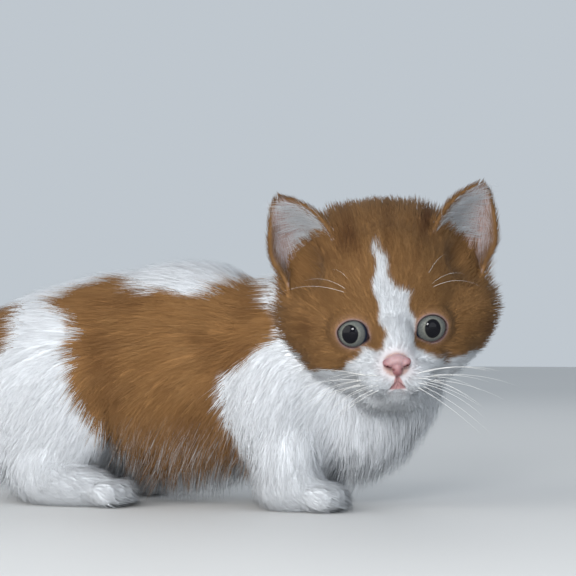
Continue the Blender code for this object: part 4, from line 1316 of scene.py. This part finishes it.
def noise(tree, scale, detail=2.0, rough=0.5, vector=None):
    vector = vector or add(tree, "ShaderNodeTexCoord").outputs["Object"]
    values = {"Vector": vector, "Scale": scale, "Detail": detail, "Roughness": rough}
    return value_of(tree, "ShaderNodeTexNoise", values)


def spread_out(tree, value, low, high, start=0.0, end=1.0):
    return value_of(tree, "ShaderNodeMapRange", {0: value, 1: low, 2: high, 3: start, 4: end})


def bump(tree, strength, distance, height):
    return value_of(tree, "ShaderNodeBump", {"Strength": strength, "Distance": distance, "Height": height})


def layer_of(tree, name, output="Fac"):
    return add(tree, "ShaderNodeAttribute", attribute_name=name).outputs[output]


def coat_colour_group():
    """The colour of a hair or the skin: white or orange, with darker bars, a pink tint and its own tone."""
    inputs = dict.fromkeys(("Orange", "Dark", "Pink", "Tone", "Along", "Depth"), "Float")
    tree, given = group("coat colour", inputs, {"Color": "Color"})
    orange = mixed(tree, given["Tone"], (*ORANGE_DEEP, 1), (*ORANGE_PALE, 1))
    patches = spread_out(tree, noise(tree, 90.0), 0.35, 0.65)
    orange = mixed(tree, sums(tree, "MULTIPLY", patches, 0.35), orange, (*ORANGE_DEEP, 1))
    orange = mixed(tree, given["Dark"], orange, (*ORANGE_DARK, 1))
    white = mixed(tree, given["Tone"], (*WHITE_LOW, 1), (*WHITE_HIGH, 1))
    coat = mixed(tree, given["Orange"], white, orange)
    coat = mixed(tree, sums(tree, "MULTIPLY", given["Pink"], 0.45), coat, (*PINK_SKIN, 1))
    # Painted shade: darker towards the hair's roots, and darker again by the depth.
    shade = spread_out(tree, given["Along"], 0.0, 0.7, 0.86, 1.0)
    shade = sums(tree, "MULTIPLY", shade, given["Depth"])
    add(tree, "NodeGroupOutput", {0: vectors(tree, "SCALE", coat, shade)})
    return tree


def soft_normal_group():
    """A normal part of the way from the tuft's own to the skin's, so that the coat shades softly as one."""
    tree, given = group("soft normal", {"Softness": "Float"}, {"Normal": "Vector"})
    own = add(tree, "ShaderNodeNewGeometry").outputs["Normal"]
    both = between(tree, given["Softness"], own, layer_of(tree, "nor", "Vector"))
    add(tree, "NodeGroupOutput", {0: vectors(tree, "NORMALIZE", both)})
    return tree


def material(name, **constants):
    made = bpy.data.materials.new(name)
    made.use_nodes = True
    shader = made.node_tree.nodes["Principled BSDF"]
    for socket, value in constants.items():
        shader.inputs[socket.replace("_", " ")].default_value = value
    return made, made.node_tree, shader.inputs


def coat_material(name, colour_group, normal_group, softness):
    constants = {"Roughness": 0.8, "Specular_IOR_Level": 0.12, "Sheen_Weight": 0.04, "Sheen_Roughness": 0.6}
    made, tree, shader = material(name, **constants)
    colour = add(tree, "ShaderNodeGroup", node_tree=colour_group)
    for layer in ("orange", "dark", "pink", "tone", "along", "depth"):
        tree.links.new(layer_of(tree, layer), colour.inputs[layer.capitalize()])
    tree.links.new(colour.outputs[0], shader["Base Color"])
    soft = add(tree, "ShaderNodeGroup", node_tree=normal_group)
    soft.inputs[0].default_value = softness
    tree.links.new(soft.outputs[0], shader["Normal"])
    in_shadow = add(tree, "ShaderNodeLightPath").outputs["Is Shadow Ray"]
    tree.links.new(spread_out(tree, in_shadow, 0.0, 1.0, 1.0, HAIR_SHADOW), shader["Alpha"])
    return made


def skin_material(colour_group):
    """The skin below the coat: its markings, and bare and pink at the lids, at the lips and in the ears."""
    made, tree, shader = material("skin", Specular_IOR_Level=0.15)
    fine = noise(tree, 2600.0, 3.0, 0.6)
    colour = add(tree, "ShaderNodeGroup", node_tree=colour_group)
    for layer in ("orange", "dark", "pink", "depth"):
        tree.links.new(layer_of(tree, layer), colour.inputs[layer.capitalize()])
    tree.links.new(fine, colour.inputs["Tone"])
    # The skin takes part of the painted shade of the hair's roots.
    colour.inputs["Along"].default_value = 0.35
    flesh = mixed(tree, noise(tree, 700.0, 3.0), (*FLESH_DEEP, 1), (*FLESH_PALE, 1))
    skin = mixed(tree, layer_of(tree, "bare"), colour.outputs[0], flesh)
    skin = mixed(tree, layer_of(tree, "lips"), skin, (*LIP_PINK, 1))
    skin = mixed(tree, layer_of(tree, "lids"), skin, (*LID_DARK, 1))
    tree.links.new(skin, shader["Base Color"])
    wet = spread_out(tree, layer_of(tree, "lids"), 0.2, 0.9, 0.85, 0.3)
    tree.links.new(wet, shader["Roughness"])
    tree.links.new(bump(tree, 0.4, 0.15 * MM, fine), shader["Normal"])
    return made


def eye_ball(sign):
    """One eye: a ball whose cornea stands a little proud, with the place in the eye kept for its colours."""
    rows = 40
    around = 64
    verts = [(0.0, 0.0, EYE_RADIUS + CORNEA_RISE)]
    for row in range(1, rows):
        angle = math.pi * (row / rows) ** 1.25
        radius = EYE_RADIUS + CORNEA_RISE * math.exp(-((angle / 0.5) ** 4))
        for k in range(around):
            turn = math.tau * k / around
            flat = radius * math.sin(angle)
            verts.append((flat * math.cos(turn), flat * math.sin(turn), radius * math.cos(angle)))
    verts.append((0.0, 0.0, -EYE_RADIUS))
    last = len(verts) - 1
    faces = [(0, 1 + k, 1 + (k + 1) % around) for k in range(around)]
    for row in range(rows - 2):
        a = 1 + row * around
        for k in range(around):
            n = (k + 1) % around
            faces.append((a + k, a + around + k, a + around + n, a + n))
    a = 1 + (rows - 2) * around
    faces += [(a + k, last, a + (k + 1) % around) for k in range(around)]
    made = object_from("eye", verts, faces)
    set_field(made.data, "eye", np.array(verts) / EYE_RADIUS)
    made.data.transform(head_pose() @ eye_frame(sign))
    if sign < 0:
        made.data.flip_normals()
    made.data.shade_smooth()
    return made


def eye_material(sign):
    """Pale grey-green iris with fine threads, a dark rim, a wide round pupil, and a wet surface."""
    wet = {"Coat_Weight": 1.0, "Coat_Roughness": 0.02, "Coat_IOR": 1.24}
    made, tree, shader = material("eye", Specular_IOR_Level=0.0, **wet)
    place = layer_of(tree, "eye", "Vector")
    parts = add(tree, "ShaderNodeSeparateXYZ", {0: place}).outputs
    x = sums(tree, "SUBTRACT", parts[0], GAZE[sign])
    y = parts[1]

    def far(across, up):
        squares = [sums(tree, "MULTIPLY", value, value) for value in (across, up)]
        return sums(tree, "SQRT", sums(tree, "ADD", *squares))

    radius = far(x, y)
    oval = far(x, sums(tree, "MULTIPLY", y, PUPIL_WIDTH / PUPIL_HEIGHT))
    around = sums(tree, "ARCTAN2", y, x)
    turn = {0: sums(tree, "COSINE", around), 1: sums(tree, "SINE", around), 2: radius}
    thread = noise(tree, 16.0, 5.0, 0.65, value_of(tree, "ShaderNodeCombineXYZ", turn))
    iris = mixed(tree, spread_out(tree, thread, 0.35, 0.65), (*IRIS_DEEP, 1), (*IRIS_PALE, 1))
    ring = spread_out(tree, radius, 0.40, 0.50)
    iris = mixed(tree, sums(tree, "MULTIPLY", ring, 0.5), iris, (*IRIS_OUTER, 1))
    rim = spread_out(tree, radius, IRIS_RADIUS - 0.09, IRIS_RADIUS - 0.01)
    iris = mixed(tree, rim, iris, (*LIMBUS, 1))
    white = spread_out(tree, radius, IRIS_RADIUS + 0.02, IRIS_RADIUS + 0.08)
    eye = mixed(tree, white, iris, (*EYE_WHITE, 1))
    pupil = spread_out(tree, oval, PUPIL_WIDTH - 0.015, PUPIL_WIDTH + 0.02)
    eye = mixed(tree, pupil, (*PUPIL_BLACK, 1), eye)
    tree.links.new(eye, shader["Base Color"])
    tree.links.new(spread_out(tree, pupil, 0.0, 1.0, 0.15, 0.45), shader["Roughness"])
    tree.links.new(bump(tree, 0.3, 0.2 * MM, thread), shader["Normal"])
    return made


def nose_piece():
    """The pink nose: a broad top, two wings and a narrow tip, with a comma-shaped nostril in each wing."""
    x, y, z = NOSE_PLACE
    wide = NOSE_WIDTH / 2
    forms = [
        egg((x, y + 0.6 * MM, z + 2.2 * MM), (wide * 0.72, 2.6 * MM, 2.0 * MM)),
        egg((x, y + 0.2 * MM, z - 0.3 * MM), (wide * 0.38, 2.4 * MM, 2.3 * MM)),
        *twins((wide * 0.58, y + 0.5 * MM, z + 1.5 * MM), (wide * 0.42, 2.3 * MM, 1.5 * MM), (0, -18, 0)),
    ]
    nose = remade(eggs("nose", forms), NOSE_GRAIN, 10)
    cuts = []
    for sign in SIDES.values():
        for share in (0, 0.33, 0.66, 1):
            high = -0.35 + 1.2 * math.sin(share * math.pi * 0.5)
            place = NOSE_PLACE + Vector(((1.75 + 2.1 * share) * sign, -2.2 + 1.2 * share, high)) * MM
            radius = (0.7 - 0.4 * share) * MM
            cuts.append(egg(place, (radius, 1.5 * MM, radius * 0.72)))
    for cut in cuts:
        nose = combine(nose, [eggs("nostril", [cut], 20, 12)], "DIFFERENCE")
    nose = remade(largest(nose), NOSTRIL_GRAIN, 3)
    points, _ = coordinates(nose.data)
    at = (points - np.array(NOSE_PLACE)) / MM
    deep = np.zeros(len(points))
    for cut in cuts:
        deep = np.maximum(deep, step(0.45 * MM, -0.1 * MM, reach(points, [cut])))
    set_field(nose.data, "nostril", deep)
    set_field(nose.data, "height", step(-3.2, 3.6, at[:, 2]))
    set_field(nose.data, "wing", step(2.0, 4.2, np.abs(at[:, 0])))
    nose.data.transform(head_pose())
    nose.data.shade_smooth()
    return nose


def nose_material():
    constants = {"Specular_IOR_Level": 0.45, "Subsurface_Weight": 0.15, "Subsurface_Scale": 0.001}
    made, tree, shader = material("nose", **constants)
    place = add(tree, "ShaderNodeTexCoord").outputs["Object"]
    cells = value_of(tree, "ShaderNodeTexVoronoi", {"Vector": place, "Scale": 3200.0})
    mottle = noise(tree, 900.0, 3.0)
    top = mixed(tree, mottle, (*NOSE_ROSE, 1), (*NOSE_PALE, 1))
    colour = mixed(tree, layer_of(tree, "height"), (*NOSE_RED, 1), top)
    colour = mixed(tree, sums(tree, "MULTIPLY", layer_of(tree, "wing"), 0.5), colour, (*NOSE_RED, 1))
    # Painted shade darkens the nostrils' hollows.
    colour = mixed(tree, layer_of(tree, "nostril"), colour, (*NOSTRIL_SHADE, 1))
    tree.links.new(colour, shader["Base Color"])
    tree.links.new(spread_out(tree, mottle, 0.3, 0.7, 0.42, 0.55), shader["Roughness"])
    tree.links.new(bump(tree, 0.35, 0.08 * MM, cells), shader["Normal"])
    return made


def whisker_material():
    made, tree, shader = material("whisker", Roughness=0.35, Specular_IOR_Level=0.5)
    colour = mixed(tree, noise(tree, 400.0), (*WHISKER_DULL, 1), (*WHISKER_PALE, 1))
    tree.links.new(colour, shader["Base Color"])
    return made


def whisker(root, aim, length, droop, thick):
    """One whisker in the head's frame: stiff at its root, bending down, thinner to its tip."""
    points = []
    radii = []
    aim = Vector(aim).normalized()
    for number in range(13):
        t = number / 12
        points.append(Vector(root) + aim * (length * t) + Vector((0, 0.25, -1)) * (droop * t**2.2))
        radii.append(thick * (1 - t) ** 0.8)
    return tube("whisker", points, radii, 5)


def whiskers():
    source = random.Random(5)
    made = []
    for sign in SIDES.values():
        for row, count in enumerate((3, 4, 4, 2)):
            for number in range(count):
                root = ((6.2 + 1.8 * number) * MM, (-37.3 + 1.1 * number) * MM, (-18.6 - 1.5 * row) * MM)
                root = mirrored(root, sign)
                back = 0.2 * number + (0.0 if sign > 0 else 0.8)
                aim = Vector((sign * (1 + 0.1 * number), back, 0.18 - 0.26 * row))
                aim += Vector([source.uniform(-0.08, 0.08) for _ in range(3)])
                length = source.uniform(20, 30) * MM * (0.8 + 0.1 * number)
                made.append(whisker(root, aim, length, source.uniform(4, 8) * MM, MUZZLE_WHISKER))
        for number in range(3):
            root = mirrored(((9.5 + 1.2 * number) * MM, -26 * MM, (4.6 + 0.5 * number) * MM), sign)
            aim = Vector((sign * (0.45 + 0.4 * number), 0.06, 1.0 - 0.2 * number))
            made.append(whisker(root, aim, source.uniform(19, 25) * MM, 9 * MM, BROW_WHISKER))
    first = made[0]
    first.name = "whiskers"
    joined(first, made[1:])
    first.data.transform(head_pose())
    first.data.shade_smooth()
    return first


def studio():
    """A wide pale floor, soft lamps and an even pale surround."""
    floor = object_from("floor", [(-3, -3, 0), (3, -3, 0), (3, 3, 0), (-3, 3, 0)], [(0, 1, 2, 3)])
    made, tree, shader = material("floor", Roughness=0.6, Specular_IOR_Level=0.3)
    shade = mixed(tree, noise(tree, 3.0, 3.0), (*FLOOR_DULL, 1), (*FLOOR_PALE, 1))
    tree.links.new(shade, shader["Base Color"])
    floor.data.materials.append(made)
    middle = ORIGIN + Vector((10 * MM, 0, 45 * MM))
    for name, (place, size, power, colour) in LAMPS.items():
        data = bpy.data.lights.new(name, "AREA")
        data.shape = "DISK"
        data.size = size
        data.energy = power
        data.color = colour
        light = bpy.data.objects.new(name, data)
        bpy.context.scene.collection.objects.link(light)
        light.location = middle + Vector(place)
        light.rotation_euler = (middle - light.location).to_track_quat("-Z", "Y").to_euler()
    world = bpy.data.worlds.new("surround")
    world.use_nodes = True
    surround = world.node_tree.nodes["Background"].inputs
    surround[0].default_value = SURROUND_COLOUR
    surround[1].default_value = SURROUND
    bpy.context.scene.world = world
    bpy.context.scene.view_settings.view_transform = "Standard"


def photo_camera():
    width = FRAME_PIXELS * PIXEL
    data = bpy.data.cameras.new("camera")
    data.sensor_width = SENSOR
    data.lens = CAMERA_DISTANCE * SENSOR / width
    data.shift_y = ((FLOOR_ROW - FRAME_PIXELS / 2) * PIXEL - CAMERA_HEIGHT) / width
    data.clip_start = 20 * MM
    camera = bpy.data.objects.new("camera", data)
    bpy.context.scene.collection.objects.link(camera)
    back = Vector((math.sin(CAMERA_AZIMUTH), -math.cos(CAMERA_AZIMUTH), 0))
    camera.location = ORIGIN + back * CAMERA_DISTANCE + Vector((0, 0, CAMERA_HEIGHT))
    camera.rotation_euler = (math.radians(90), 0, CAMERA_AZIMUTH)
    bpy.context.scene.camera = camera


def finished(piece, name, stands_for=(), finish=None):
    """Moves a piece to its place in the model and says what it rides on and stands for."""
    piece.name = name
    piece.data.name = name
    piece.data.transform(Matrix.Translation(ORIGIN))
    if finish:
        piece.data.materials.clear()
        piece.data.materials.append(finish)
    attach(piece, "root")
    if stands_for:
        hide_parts(*stands_for)
    return piece


photo_camera()
studio()

head, mouth = head_skin()
head.data.transform(head_pose())
skin = body_skin()
skin = largest(combine(skin, [object_of(head.data.copy(), "head copy")], "UNION"))
fields = marked_skin(skin, head, mouth)
bpy.data.objects.remove(head)

colours = coat_colour_group()
normals = soft_normal_group()
coat = coat_material("coat", colours, normals, COAT_SOFTNESS)
tree = coat_tree()

x_in_head, y_in_head, _ = fields["in_head"].T / MM
on_head = fields["head"] > 0.5
in_ear = fields["ear"] > 0.3
along_body = fields["points"][:, 0] / MM
on_tail = ~on_head & (fields["weights"]["tail"] > 0.5) & (along_body < TAIL_START)
on_leg = ~on_head & (fields["weights"]["lower"] + fields["weights"]["paw"] > 0.5)
on_trunk = ~on_head & ~on_tail & ~on_leg
on_face = on_head & ~in_ear & (y_in_head < FACE_END)
on_skull = on_head & ~in_ear & ~on_face
left = x_in_head > 0
on_left = fields["points"][:, 1] > 0
on_loin = (along_body >= RUMP_END) & (along_body < LOIN_END)

# Each part of the coat: where it grows, its unwrapping, and its points along a tuft.
PARTS = {
    "coat_face_left": (on_face & left, head_unwrap, 3),
    "coat_face_right": (on_face & ~left, head_unwrap, 3),
    "coat_head_left": (on_skull & left, head_unwrap, 4),
    "coat_head_right": (on_skull & ~left, head_unwrap, 4),
    "coat_ears": (in_ear, ear_unwrap, 3),
    "coat_rump_left": (on_trunk & on_left & (along_body < RUMP_END), trunk_unwrap, 4),
    "coat_rump_right": (on_trunk & ~on_left & (along_body < RUMP_END), trunk_unwrap, 4),
    "coat_loin_left": (on_trunk & on_left & on_loin, trunk_unwrap, 4),
    "coat_loin_right": (on_trunk & ~on_left & on_loin, trunk_unwrap, 4),
    "coat_chest_left": (on_trunk & on_left & (along_body >= LOIN_END), trunk_unwrap, 4),
    "coat_chest_right": (on_trunk & ~on_left & (along_body >= LOIN_END), trunk_unwrap, 4),
    "coat_forelegs": (on_leg & (along_body > LEGS_PARTING), leg_unwrap, 3),
    "coat_hindlegs": (on_leg & (along_body <= LEGS_PARTING), leg_unwrap, 3),
    "coat_tail": (on_tail, tail_unwrap, 4),
}
for number, (name, (where, unwrap, points)) in enumerate(PARTS.items()):
    piece = grow(name, tree, skin, fields, where, coat, points, seed=number * 100 + 7)
    bake_map(piece, unwrap)
    finished(piece, name)

ear_fields = dict(fields)
ear_fields["lie"] = units(fields["sweep"])
for field, value in zip(("length", "lift", "width"), EAR_LONG_HAIR):
    ear_fields[field] = np.full(len(along_body), value * MM)
ear_fields["hang"] = np.full(len(along_body), float(EAR_LONG_HAIR.hang))
ear_fields["roots"] = fields["ear_long"] * EAR_LONG_ROOTS
ear_fields["orange"] = {"coat": np.full(len(along_body), EAR_LONG_ORANGE)}
ear_fields["dark"] = {"coat": np.zeros(len(along_body))}
ear_fields["pink"] = np.zeros(len(along_body))
tufts = grow("ear_hair", tree, skin, ear_fields, 1.0, coat, 5, locks=0.12, drawn=0.3, spread=0.3, seed=4007)
bake_map(tufts, ear_unwrap)
finished(tufts, "ear_hair")

mesh = skin.data
for field in ("orange", "dark"):
    set_field(mesh, field, fields[field]["skin"])
# The depth field carries the painted shade to the skin's colour too.
for field in ("pink", "bare", "lids", "lips", "depth"):
    set_field(mesh, field, fields[field])
mesh.shade_smooth()
flesh_nodes = [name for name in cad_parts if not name.startswith(("eye_", "nose"))]
finished(skin, "skin", flesh_nodes, skin_material(colours))

for side, sign in SIDES.items():
    finished(eye_ball(sign), f"{side}_eye", [f"eye_{side}"], eye_material(sign))
finished(nose_piece(), "nose_leather", ["nose"], nose_material())
finished(whiskers(), "whiskers", (), whisker_material())
